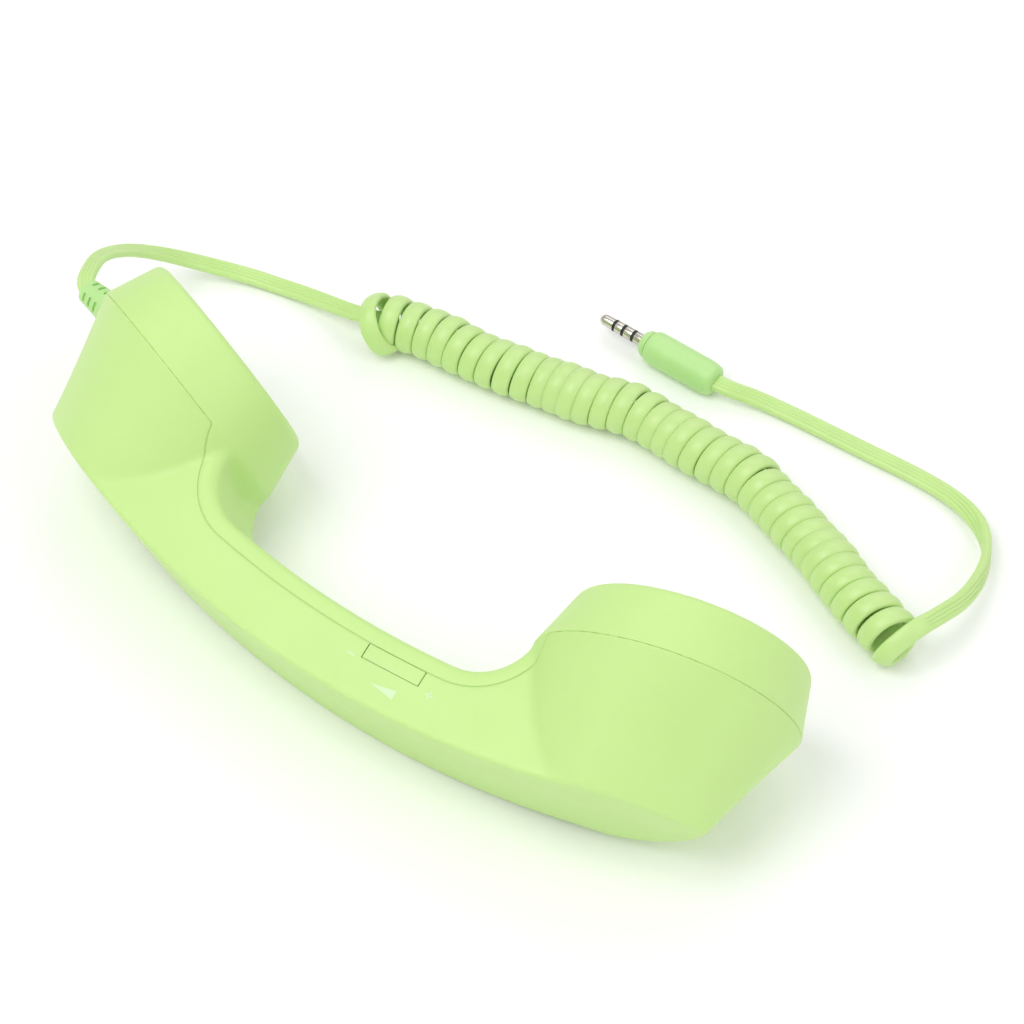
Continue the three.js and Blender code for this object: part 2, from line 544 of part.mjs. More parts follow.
// ---------------------------------------------------------------- wiring inside the shells
function wires() {
  const end = BOARD_TOP + 0.5;
  const core = [
    [-102.9, 7.5, 0], [-98.6, 5.6, 1.2], [-92, -3, 4], [-84, -12, 5.4], [-72, -20, 6], [-58, -26, 6], [-46, -28.6, 5.8],
    [-38.6, -29.4, 5.6], [-36.4, -31.2, 5.4], [-36.2, end + 0.2, 5.4],
  ];
  const ear = (side) => [
    [64, -0.6, 1.6 * side], [62, -8, 1.8 * side], [57, -18, 2.4 * side], [50, -26, 3 * side], [42.4, -29.8, 3.2 * side],
    [40.8, -31.4, 3.2 * side], [40.6, end, 3.2 * side],
  ];
  const mouth = (first, then) => [
    [-76.1, 4.3, first], [-75, -2, (first + then) / 2], [-68, -12, then], [-58, -21.5, then], [-47, -28, then],
    [-39.2, -29.8, then], [-37.2, -31.4, then], [-37, end, then],
  ];
  return [
    mesh("cord_core", rod(core, 1.2, 8, 14), paint.cord),
    mesh("speaker_wire_red", rod(ear(1), 0.6, 6, 10), paint.red),
    mesh("speaker_wire_black", rod(ear(-1), 0.6, 6, 10), paint.black),
    mesh("mic_wire_white", rod(mouth(-1.2, -4.6), 0.6, 6, 12), paint.white),
    mesh("mic_wire_black", rod(mouth(1.2, -2.4), 0.6, 6, 12), paint.black),
  ];
}

// ---------------------------------------------------------------- cord and plug
function strainRelief() {
  const profile = [[0, -6.2], [5.4, -6.2], [5.4, -5], [4.15, -5], [4.15, 4], [3.4, RELIEF_LENGTH], [0, RELIEF_LENGTH]];
  return framed(reliefMatrix(), mesh("strain_relief", turned(profile, 20), paint.mint));
}

function cords(leadStart) {
  const plugEnd = [PLUG_SHOULDER[0] + GRIP_LENGTH + 0.4, PLUG_SHOULDER[1], PLUG_SHOULDER[2]];
  return [
    mesh("cord_lead_handset", rod([leadStart, ...LEAD_ROUTE], LEAD_R, 8, 30), paint.cord),
    mesh("cord_coil", rod(COIL_ROUTE, COIL_R, 12, 14), paint.cord),
    mesh("cord_lead_plug", rod([plugEnd, ...PLUG_LEAD_ROUTE], LEAD_R, 8, 34), paint.cord),
  ];
}

// The plug along its axis, from the tip (0) to the grip's rear end; it is laid down pointing to -X.
function plug() {
  const contact = (low, high) => disc(PLUG_R, low, high, 16);
  const insulator = (at) => disc(PLUG_R - 0.05, at - 0.4, at + 0.4, 16);
  const tip = [[0, 0], [0.9, 0.05], [1.5, 0.9], [1.6, 1.3], [1.6, 4.55], [0, 4.55]];
  const rear = PLUG_LENGTH + GRIP_LENGTH;
  const bore = PLUG_R + 0.3;
  const collar = [[bore, PLUG_LENGTH], [2.8, PLUG_LENGTH], [3.8, PLUG_LENGTH + 1.1], [3.95, 16.9], [bore, 16.9]];
  const grip = [[0, 17], [4.2, 17], [GRIP_R, 18.4], [GRIP_R, rear - 2.4], [4.1, rear - 0.7], [2.9, rear], [0, rear]];
  const group = framed(
    new THREE.Matrix4().makeRotationY(Math.PI / 2),
    mesh("plug_tip", turned(tip, 16), paint.plated),
    mesh("plug_insulator_1", insulator(5), paint.black),
    mesh("plug_ring_1", contact(5.45, 7.65), paint.plated),
    mesh("plug_insulator_2", insulator(8.1), paint.black),
    mesh("plug_ring_2", contact(8.55, 11.05), paint.plated),
    mesh("plug_insulator_3", insulator(11.5), paint.black),
    mesh("plug_sleeve", contact(11.95, 16.7), paint.plated),
    mesh("plug_collar", turned([...collar, collar[0]], 24), paint.mint),
    mesh("plug_body", turned(grip, 24), paint.mint)
  );
  group.position.set(PLUG_SHOULDER[0] - PLUG_LENGTH, PLUG_SHOULDER[1], PLUG_SHOULDER[2]);
  return group;
}

// ---------------------------------------------------------------- assembly
const casing = new THREE.Group().add(...shells());
const handset = new THREE.Group().add(casing, earParts(), mouthParts(), ...handleParts(), ...wires(), strainRelief());
handset.rotation.x = REST_TILT;
handset.updateMatrixWorld(true);
const reach = new THREE.Box3().setFromObject(casing, true);
handset.position.set(0, -(reach.min.y + reach.max.y) / 2, -reach.min.z);
handset.updateMatrixWorld(true);
const cordExit = new THREE.Vector3(0, 0, RELIEF_LENGTH + 0.35).applyMatrix4(reliefMatrix());
cordExit.applyMatrix4(handset.matrixWorld);

export default new THREE.Group().add(handset, ...cords(cordExit.toArray()), plug());
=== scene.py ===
# Looks of a retro telephone handset with its curly cord and 3.5 mm plug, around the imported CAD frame.
#
# The handset is described in millimetres in its own frame (u, v, w) = (length, back to front, across).
# place() tilts it about X, as it rests on its side, and turns it into the row frame in metres.
import json
import math

import bpy
import numpy as np
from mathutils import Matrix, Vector


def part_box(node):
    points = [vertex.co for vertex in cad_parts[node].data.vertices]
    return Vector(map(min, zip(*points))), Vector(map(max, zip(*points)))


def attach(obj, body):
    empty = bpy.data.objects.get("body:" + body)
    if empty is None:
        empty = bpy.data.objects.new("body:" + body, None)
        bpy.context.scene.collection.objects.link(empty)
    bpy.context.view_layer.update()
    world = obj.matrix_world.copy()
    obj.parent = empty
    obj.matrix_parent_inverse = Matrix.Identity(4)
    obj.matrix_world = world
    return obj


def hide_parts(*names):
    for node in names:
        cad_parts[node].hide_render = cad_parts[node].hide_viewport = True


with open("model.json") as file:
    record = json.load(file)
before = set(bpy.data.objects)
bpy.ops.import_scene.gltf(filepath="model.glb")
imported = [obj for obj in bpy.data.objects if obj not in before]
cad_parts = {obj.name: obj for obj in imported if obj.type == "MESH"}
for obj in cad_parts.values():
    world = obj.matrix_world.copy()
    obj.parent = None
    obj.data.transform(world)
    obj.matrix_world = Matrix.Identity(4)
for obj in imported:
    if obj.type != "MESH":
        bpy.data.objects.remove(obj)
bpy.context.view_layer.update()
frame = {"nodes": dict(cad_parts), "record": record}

MM = 0.001

# ------------------------ driving dimensions: handset, in mm
CUP_U = 77.4  # centre of each cup's parting ring
FACE_TILT = math.radians(16.3)
CUP_R = 33.5  # parting ring, where a cup is widest
CAP_HEIGHT = 15.8  # parting ring to face
RIM_R = 29.0  # edge of the face
RIM_SHIFT = 1.9  # the face sits this much further out than the parting ring
RIM_ROUND = 2.0
TAPER_LENGTH = 0.24  # radius lost per mm behind the parting ring, along the handset
TAPER_WIDTH = 0.5  # and across it
BACK_LEAN = 0.2  # a cup's centre moves in by this much per mm behind the parting ring
BACK_EXPONENT = 1.48  # the round section turns into this superellipse at the back
BACK_DEPTH = 32.0  # depth at which it has done so
BACK_V = -45.3  # lowest point of the curved back
BACK_ARC_R = 264.0
BACK_ROUND = 1.1
HANDLE_HALF = 16.0  # half the handle's width
HANDLE_END = 75.9
SEAM_V = -31.1  # parting line at the middle of the handle
SEAM_ARC_R = 270.0
SEAM_FILLET_R = 20.0  # parting line's bend up to the cups
SEAM_FILLET_U = 33.2
SEAM_DROP = 4.8  # parting line to the handle's inner surface
INNER_ROUND = 3.5  # rounded long edges of the handle, finger side
CREASE = 0.9  # soft crease where the handle's flat side runs into a cup
PARTING_GAP = 0.18
EDGE_ROUND = 0.28  # rounded edges of the shells along the parting line
WALL = 1.9
ARC_V = SEAM_V + SEAM_ARC_R
FILLET_V = ARC_V - math.sqrt((SEAM_ARC_R - SEAM_FILLET_R) ** 2 - SEAM_FILLET_U**2)
BEND = math.asin(SEAM_FILLET_U / (SEAM_ARC_R - SEAM_FILLET_R))  # where arc and fillet meet
NET_STEP = 1.0  # grid cell of the net over the surface

REST_TILT = math.radians(21.7)
ROCKER_U = 23.3  # volume rocker in the handle's side
ROCKER_HALF = 8.15
ROCKER_DEEP = 3.85  # its far edge, behind the parting line
ROCKER_GAP = 0.27  # room at its ends
LIP = 0.9  # half the width of the lip behind the parting line
ROCKER_PIN_W = 12.0
BUTTON_HALF = (6.0, 3.25)
BUTTON_PROUD = 0.6
BUTTON_GAP = 0.35
HANDLE_FRONT_V = SEAM_V + SEAM_DROP
RELIEF_ANGLE = math.radians(7.6)  # strain relief, up from the handset's length
RELIEF_BEHIND = 0.95  # its axis passes this far behind the parting ring
RELIEF_LENGTH = 11.8
HOLE_R = 1.2  # sound holes
SINK = 0.35  # their countersink
PILOT_R = 1.05

# ------------------------ driving dimensions: cord and plug
CORD_WIDTH = 4.8
CORD_THICK = 2.5
CORD_EDGE = 0.95  # width of its rounded edges
GROOVE = 0.24  # depth of the three grooves in each face of the leads
GROOVE_HALF = 0.3  # half their width
GROOVE_APART = 0.95
CROWN = 0.1  # how far a face falls towards its edges
COIL_CROWN = 0.16  # and how much more it does where the cord is curled
COIL_WIDENED = 0.05  # share by which the curled cord is wider
COIL_R = 7.4
TURNS = 36  # the first loop included; the last rise into the lead comes on top
PLUG_R = 1.75
PLUG_LENGTH = 14.5
COLLAR_END = 16.95  # from the plug's tip
GRIP_R = 4.75
GRIP_LENGTH = 24.8
PLUG_SHOULDER = (-14.6, 122.3, GRIP_R)

# Where the cord lies, in metres in the row frame.
LEAD_ROUTE = [
    (-0.1236, 0.0203, 0.0352), (-0.1250, 0.0222, 0.0354), (-0.1266, 0.0249, 0.0350),
    (-0.1287, 0.0283, 0.0338), (-0.1310, 0.0324, 0.0319), (-0.1328, 0.0370, 0.0292),
    (-0.1341, 0.0417, 0.0259), (-0.1348, 0.0467, 0.0223), (-0.1348, 0.0517, 0.0184),
    (-0.1341, 0.0564, 0.0146), (-0.1327, 0.0610, 0.0109), (-0.1303, 0.0653, 0.0076),
    (-0.1267, 0.0692, 0.0050), (-0.1217, 0.0727, 0.0032), (-0.1156, 0.0755, 0.0023),
    (-0.1085, 0.0775, 0.0020), (-0.1013, 0.0788, 0.0026), (-0.0940, 0.0793, 0.0038),
    (-0.0870, 0.0792, 0.0054), (-0.0815, 0.0792, 0.0068), (-0.0779, 0.0798, 0.0073),
]
COIL_ROUTE = [
    (-0.0770, 0.0802, 0.00745), (-0.0700, 0.0826, 0.00745), (-0.0625, 0.0848, 0.00745),
    (-0.0540, 0.0864, 0.00745), (-0.0445, 0.0873, 0.00745), (-0.0360, 0.0882, 0.00745),
    (-0.0275, 0.0900, 0.00745), (-0.0195, 0.0921, 0.00745), (-0.0105, 0.0939, 0.00745),
    (-0.0020, 0.0960, 0.00745), (0.0055, 0.0974, 0.00745), (0.0140, 0.0978, 0.00745),
    (0.0240, 0.0975, 0.00745), (0.0340, 0.0972, 0.00745), (0.0435, 0.0961, 0.00745),
    (0.0520, 0.0940, 0.00745), (0.0605, 0.0911, 0.00745), (0.0690, 0.0877, 0.00745),
    (0.0775, 0.0843, 0.00745), (0.0860, 0.0811, 0.00745), (0.0940, 0.0782, 0.00745),
    (0.1010, 0.0759, 0.00745),
]
PLUG_LEAD_ROUTE = [
    (0.0130, 0.1224, 0.0046), (0.0202, 0.1253, 0.0032), (0.0274, 0.1271, 0.0021),
    (0.0342, 0.1279, 0.0019), (0.0466, 0.1287, 0.0019), (0.0560, 0.1293, 0.0019),
    (0.0654, 0.1300, 0.0019), (0.0744, 0.1302, 0.0020), (0.0816, 0.1295, 0.0024),
    (0.0874, 0.1279, 0.0029), (0.0928, 0.1252, 0.0035), (0.0976, 0.1212, 0.0042),
    (0.1014, 0.1158, 0.0050), (0.1042, 0.1091, 0.0064), (0.1060, 0.1016, 0.0082),
    (0.1067, 0.0946, 0.0100), (0.1062, 0.0884, 0.0115), (0.1052, 0.0822, 0.0126),
]


# ------------------------ camera, floor and light
CAMERA_TARGET = Vector((0.0061, 0.0401, 0.0200))
CAMERA_DISTANCE = 0.7742
CAMERA_AZIMUTH = math.radians(39.28)
CAMERA_ELEVATION = math.radians(47.90)
CAMERA_LENS = 107.5


def direction(azimuth, elevation):
    return Vector((
        math.sin(azimuth) * math.cos(elevation),
        -math.cos(azimuth) * math.cos(elevation),
        math.sin(elevation),
    ))


def make_camera():
    data = bpy.data.cameras.new("camera")
    data.lens = CAMERA_LENS
    data.sensor_width = 36
    camera = bpy.data.objects.new("camera", data)
    bpy.context.scene.collection.objects.link(camera)
    back = direction(CAMERA_AZIMUTH, CAMERA_ELEVATION)
    camera.location = CAMERA_TARGET + back * CAMERA_DISTANCE
    camera.rotation_mode = "QUATERNION"
    camera.rotation_quaternion = (-back).to_track_quat("-Z", "Y")
    bpy.context.scene.camera = camera


def make_light(name, azimuth, elevation, distance, size, power):
    data = bpy.data.lights.new(name, "AREA")
    data.shape = "DISK"
    data.size = size
    data.energy = power
    lamp = bpy.data.objects.new(name, data)
    bpy.context.scene.collection.objects.link(lamp)
    towards = direction(math.radians(azimuth), math.radians(elevation))
    lamp.location = CAMERA_TARGET + towards * distance
    lamp.rotation_mode = "QUATERNION"
    lamp.rotation_quaternion = (-towards).to_track_quat("-Z", "Y")


def make_studio():
    make_light("key_light", -20, 62, 1.3, 0.9, 7.0)
    make_light("fill_light", 95, 40, 1.4, 1.0, 3.0)
    make_light("back_light", 200, 50, 1.4, 1.0, 2.5)
    world = bpy.data.worlds.new("studio")
    world.use_nodes = True
    background = world.node_tree.nodes["Background"]
    background.inputs["Color"].default_value = (1.0, 1.0, 1.0, 1.0)
    background.inputs["Strength"].default_value = 0.62
    bpy.context.scene.world = world
    bpy.context.scene.view_settings.view_transform = "Standard"


# ------------------------ materials
def srgb(red, green, blue):
    """Linear colour of an sRGB one given from 0 to 255."""
    return tuple(((c / 255 + 0.055) / 1.055) ** 2.4 if c > 10 else c / 3294.6 for c in (red, green, blue))


def noise(nodes, links, coordinates, scale, detail=3.0):
    texture = nodes.new("ShaderNodeTexNoise")
    texture.inputs["Scale"].default_value = scale
    texture.inputs["Detail"].default_value = detail
    links.new(coordinates, texture.inputs["Vector"])
    return texture.outputs["Fac"]


def remap(nodes, links, value, low, high):
    node = nodes.new("ShaderNodeMapRange")
    node.inputs["From Min"].default_value = 0.3
    node.inputs["From Max"].default_value = 0.7
    node.inputs["To Min"].default_value = low
    node.inputs["To Max"].default_value = high
    links.new(value, node.inputs["Value"])
    return node.outputs["Result"]


def mottled(nodes, links, value, first, second):
    """Mix of two colours driven by a noise value."""
    mix = nodes.new("ShaderNodeMix")
    mix.data_type = "RGBA"
    mix.inputs["A"].default_value = (*first, 1)
    mix.inputs["B"].default_value = (*second, 1)
    links.new(remap(nodes, links, value, 0, 1), mix.inputs["Factor"])
    return mix.outputs["Result"]


def surface(name, colour, shade, roughness, grain, bump, metallic=0.0, spread=0.05, cloud=90, **sockets):
    """Procedural material: cloudy colour between colour and shade, uneven roughness and a fine grained bump.

    grain is how many grains a metre holds and bump is their height in metres. spread is how far the roughness
    varies, and cloud is how many patches of colour a metre holds.
    """
    material = bpy.data.materials.new(name)
    material.use_nodes = True
    nodes, links = material.node_tree.nodes, material.node_tree.links
    shader = nodes["Principled BSDF"]
    place_at = nodes.new("ShaderNodeTexCoord").outputs["Object"]
    clouds = noise(nodes, links, place_at, cloud)
    links.new(mottled(nodes, links, clouds, colour, shade), shader.inputs["Base Color"])
    wear = noise(nodes, links, place_at, 4.3 * cloud)
    links.new(remap(nodes, links, wear, roughness - spread, roughness + spread), shader.inputs["Roughness"])
    shader.inputs["Metallic"].default_value = metallic
    for socket, value in sockets.items():
        shader.inputs[socket.replace("_", " ")].default_value = value
    relief = nodes.new("ShaderNodeBump")
    relief.inputs["Strength"].default_value = 1.0
    relief.inputs["Distance"].default_value = bump
    links.new(noise(nodes, links, place_at, grain, 2.0), relief.inputs["Height"])
    links.new(relief.outputs["Normal"], shader.inputs["Normal"])
    return material


def make_materials():
    return {
        "shell_plastic": surface(
            "lime_soft_touch", srgb(200, 234, 148), srgb(197, 231, 144), 0.46, 5200, 0.000008, cloud=35,
            Subsurface_Weight=0.12, Subsurface_Scale=0.004, Subsurface_Radius=(0.6, 1.0, 0.3),
            Specular_IOR_Level=0.42,
        ),
        "mint_plastic": surface(
            "mint_soft_plastic", srgb(189, 230, 153), srgb(185, 227, 149), 0.42, 4200, 0.000012, cloud=120,
            Subsurface_Weight=0.15, Subsurface_Scale=0.003, Subsurface_Radius=(0.6, 1.0, 0.4),
            Specular_IOR_Level=0.45,
        ),
        "cord_jacket": surface(
            "lime_cord_jacket", srgb(199, 229, 150), srgb(195, 226, 146), 0.36, 2600, 0.00001, cloud=150,
            Subsurface_Weight=0.15, Subsurface_Scale=0.003, Subsurface_Radius=(0.6, 1.0, 0.3),
            Specular_IOR_Level=0.5,
        ),
        "steel": surface(
            "zinc_steel", srgb(168, 170, 172), srgb(140, 142, 146), 0.34, 3000, 0.00001, 1.0, cloud=400
        ),
        "plated_contact": surface(
            "nickel_plating", srgb(214, 210, 200), srgb(196, 191, 180), 0.2, 2400, 0.000004, 1.0, cloud=300
        ),
        "black_plastic": surface(
            "black_moulding", srgb(22, 22, 23), srgb(32, 32, 33), 0.5, 4000, 0.00001, cloud=300
        ),
        "circuit_board": surface(
            "green_solder_mask", srgb(24, 92, 50), srgb(16, 70, 38), 0.36, 1500, 0.00002, cloud=500
        ),
        "diaphragm_film": surface(
            "coated_paper", srgb(216, 210, 192), srgb(198, 190, 170), 0.62, 2500, 0.00004, cloud=600
        ),
        "foam": surface(
            "dark_foam", srgb(44, 44, 46), srgb(26, 26, 28), 0.9, 2600, 0.00012, cloud=1800
        ),
        "copper_wire": surface(
            "enamelled_copper", srgb(186, 104, 58), srgb(160, 84, 44), 0.3, 6000, 0.00003, 1.0, cloud=900
        ),
        "ferrite": surface(
            "ferrite_grey", srgb(52, 52, 55), srgb(38, 38, 41), 0.6, 3500, 0.00002, cloud=700
        ),
        "white_plastic": surface(
            "white_moulding", srgb(236, 234, 228), srgb(224, 221, 214), 0.45, 3800, 0.00001, cloud=250
        ),
        "red_plastic": surface(
            "red_insulation", srgb(178, 38, 30), srgb(150, 28, 24), 0.42, 3800, 0.00001, cloud=400
        ),
    }


# ------------------------ building meshes
def place(points):
    """Points of the handset's frame in mm, as row-frame points in metres."""
    points = np.asarray(points, float)
    cos, sin = math.cos(REST_TILT), math.sin(REST_TILT)
    turned = np.stack([
        points[..., 0],
        points[..., 1] * cos - points[..., 2] * sin,
        points[..., 1] * sin + points[..., 2] * cos,
    ], -1)
    return turned * MM + REST_SHIFT


def find_rest_shift():
    """How far the tilted handset is moved: its control board's middle is known in both frames."""
    low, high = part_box("control_board")
    board = np.array([2.0, -34.2, 0.0])
    cos, sin = math.cos(REST_TILT), math.sin(REST_TILT)
    return np.array((low + high) / 2) - MM * np.array([board[0], board[1] * cos, board[1] * sin])


def add_piece(name, points, faces, slot, body="handset", nodes=(), sharp=35):
    """A smooth-shaded piece from row-frame points in metres and faces given by their points' numbers."""
    mesh = bpy.data.meshes.new(name)
    mesh.from_pydata([tuple(p) for p in points], [], [tuple(int(i) for i in f) for f in faces])
    mesh.update()
    piece = bpy.data.objects.new(name, mesh)
    bpy.context.scene.collection.objects.link(piece)
    dress(piece, slot, sharp)
    if body:
        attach(piece, body)
    if nodes:
        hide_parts(*nodes)
    return piece


def dress(piece, slot, sharp=35):
    """Gives a piece its slot's material and smooth shading up to the sharp angle."""
    piece.data.materials.clear()
    piece.data.materials.append(materials[slot])
    piece.data.polygons.foreach_set("use_smooth", [True] * len(piece.data.polygons))
    piece.data.set_sharp_from_angle(angle=math.radians(sharp))


def bake_modifiers(piece):
    """Replaces the mesh by its modified one."""
    graph = bpy.context.evaluated_depsgraph_get()
    made = bpy.data.meshes.new_from_object(piece.evaluated_get(graph))
    piece.modifiers.clear()
    piece.data = made


def joined(parts):
    """(points, faces) of several (points, faces) together."""
    points, faces, start = [], [], 0
    for some_points, some_faces in parts:
        points.extend(np.asarray(some_points, float))
        faces.extend([[int(i) + start for i in face] for face in some_faces])
        start += len(some_points)
    return np.array(points), faces


def mapped(part, function):
    return function(np.asarray(part[0], float)), part[1]


def skin(rings, closed=False):
    """Closed surface through rings of points: capped at both ends, or running back to its start if closed."""
    count = len(rings[0])
    points = np.concatenate(rings)
    faces = []
    for k in range(len(rings) if closed else len(rings) - 1):
        a, b = k * count, ((k + 1) % len(rings)) * count
        faces.extend([a + i, a + (i + 1) % count, b + (i + 1) % count, b + i] for i in range(count))
    if not closed:
        last = (len(rings) - 1) * count
        faces.append(list(range(count))[::-1])
        faces.append(list(range(last, last + count)))
    return points, faces


def softened(profile, radius, steps=4):
    """Open outline with every inner corner rounded, by a smaller radius where its sides are short."""
    points = [np.array(p, float) for p in profile]
    made = [points[0]]
    for before, corner, after in zip(points, points[1:], points[2:]):
        back, ahead = before - corner, after - corner
        reach = min(radius, 0.45 * np.linalg.norm(back), 0.45 * np.linalg.norm(ahead))
        start = corner + back / np.linalg.norm(back) * reach
        end = corner + ahead / np.linalg.norm(ahead) * reach
        for t in np.linspace(0, 1, steps + 1):
            made.append((1 - t) ** 2 * start + 2 * t * (1 - t) * corner + t * t * end)
    made.append(points[-1])
    return made


def lathe(profile, sides=64):
    """Turned solid about z through (radius, height) points listed upwards; a ring if it closes on itself."""
    turns = np.linspace(0, 2 * math.pi, sides, endpoint=False)
    rings = [np.stack([r * np.cos(turns), r * np.sin(turns), np.full(sides, z)], 1) for r, z in profile]
    if np.allclose(profile[0], profile[-1]):
        return skin(rings[:-1], closed=True)
    return skin(rings)


def solid_lathe(profile, radius=0.3, sides=64):
    """Turned solid whose profile starts and ends near the axis, with softened corners."""
    outline = [(0.02, profile[0][1]), *profile, (0.02, profile[-1][1])]
    return lathe(softened(outline, radius), sides)


def rounded_box(low, high, radius, steps=3):
    """Box with rounded edges, as one closed surface of stacked rounded rectangles along z."""
    (x0, y0, z0), (x1, y1, z1) = low, high
    middle = np.array([(x0 + x1) / 2, (y0 + y1) / 2])
    half = np.array([x1 - x0, y1 - y0]) / 2
    turns = np.linspace(0, math.pi / 2, steps + 1)
    levels = [(radius * (1 - math.sin(a)), z0 + radius * (1 - math.cos(a))) for a in turns]
    levels += [(inset, z1 - (z - z0)) for inset, z in reversed(levels)]
    rings = []
    for inset, z in levels:
        core = half - radius
        ring = []
        for quarter, (sx, sy) in enumerate(((1, 1), (-1, 1), (-1, -1), (1, -1))):
            for a in turns + quarter * math.pi / 2:
                reach = max(radius - inset, 0.01)
                x = middle[0] + sx * core[0] + reach * math.cos(a)
                ring.append((x, middle[1] + sy * core[1] + reach * math.sin(a), z))
        rings.append(np.array(ring))
    return skin(rings)


# ------------------------ the handset's outer surface as a field
def round_max(a, b, radius):
    """Larger of two distances, with the edge where they meet rounded off."""
    rounded = np.hypot(np.maximum(a + radius, 0), np.maximum(b + radius, 0))
    return np.minimum(np.maximum(a, b), -radius) + rounded


def round_min(a, b, radius):
    return -round_max(-a, -b, radius)


def unit(vectors):
    return vectors / np.linalg.norm(vectors, axis=-1, keepdims=True)


def split(points):
    return points[..., 0], points[..., 1], points[..., 2]


def in_cup(points):
    """A cup's own coordinates: x outwards along its face, z along the face's normal."""
    u, v, w = split(points)
    du = np.abs(u) - CUP_U
    cos, sin = math.cos(FACE_TILT), math.sin(FACE_TILT)
    return du * cos + v * sin, w, -du * sin + v * cos


def cup_side(points):
    x, y, z = in_cup(points)
    rise = z / CAP_HEIGHT
    slope = (CUP_R - RIM_R) / CAP_HEIGHT
    front = (np.hypot(x - RIM_SHIFT * rise, y) - CUP_R + slope * z) / math.hypot(1, slope)
    depth = np.minimum(z, 0)
    a, b = CUP_R + TAPER_LENGTH * depth, CUP_R + TAPER_WIDTH * depth
    power = 2 + (BACK_EXPONENT - 2) * np.minimum(1, -depth / BACK_DEPTH)
    across_x = np.abs(x - BACK_LEAN * depth) + 1e-6
    across_y = np.abs(y) + 1e-6
    reach = ((across_x / a) ** power + (across_y / b) ** power) ** (1 / power)
    slope_x = (across_x / reach) ** (power - 1) / a**power
    slope_y = (across_y / reach) ** (power - 1) / b**power
    back = 0.95 * (reach - 1) / np.hypot(slope_x, slope_y)
    return np.where(z > 0, front, back)


def cup_body(points):
    return round_max(cup_side(points), in_cup(points)[2] - CAP_HEIGHT, RIM_ROUND)


def along_seam(points, drop):
    """Distance in front of the curve that runs this far in front of the parting line, round to both cups."""
    u, v, _ = split(points)
    fx, fy = np.abs(u) - SEAM_FILLET_U, v - FILLET_V
    arc = SEAM_ARC_R - drop - np.hypot(u, v - ARC_V)
    fillet = SEAM_FILLET_R - drop - np.hypot(fx, np.minimum(fy, 0))
    fillet = np.where(fy > 0, SEAM_FILLET_R - drop - fx, fillet)
    return np.where(np.arctan2(fx, -fy) > BEND, fillet, arc)


def handle_body(points):
    u, v, w = split(points)
    body = round_max(along_seam(points, SEAM_DROP), np.abs(w) - HANDLE_HALF, INNER_ROUND)
    return np.maximum(body, np.maximum(v - FILLET_V, np.abs(u) - HANDLE_END))


def curved_back(points):
    u, v, _ = split(points)
    return np.hypot(u, v - BACK_V - BACK_ARC_R) - BACK_ARC_R


def sides_only(points):
    return round_min(cup_body(points), handle_body(points), CREASE)


def handset(points):
    return round_max(sides_only(points), curved_back(points), BACK_ROUND)


def parting(points):
    """Positive in front of the parting line, negative behind it."""
    u, v, _ = split(points)
    line = SEAM_FILLET_R - np.hypot(np.abs(u) - SEAM_FILLET_U, v - FILLET_V)
    arc = SEAM_ARC_R - np.hypot(u, v - ARC_V)
    line = np.where(np.arctan2(np.abs(u) - SEAM_FILLET_U, FILLET_V - v) > BEND, line, arc)
    return np.maximum(line, in_cup(points)[2])


def gradient(field, points, step=0.01):
    parts = []
    for axis in np.eye(3) * step:
        parts.append((field(points + axis) - field(points - axis)) / (2 * step))
    return np.stack(parts, -1)


def onto(field, points, rounds=4, reach=0.6):
    """Points moved along the field's gradient until they lie on its zero surface."""
    for _ in range(rounds):
        slope = gradient(field, points)
        steps = (field(points) / np.maximum((slope**2).sum(-1), 0.05))[:, None] * slope
        length = np.linalg.norm(steps, axis=1, keepdims=True)
        points = points - steps * np.minimum(1, reach / np.maximum(length, 1e-9))
    return points


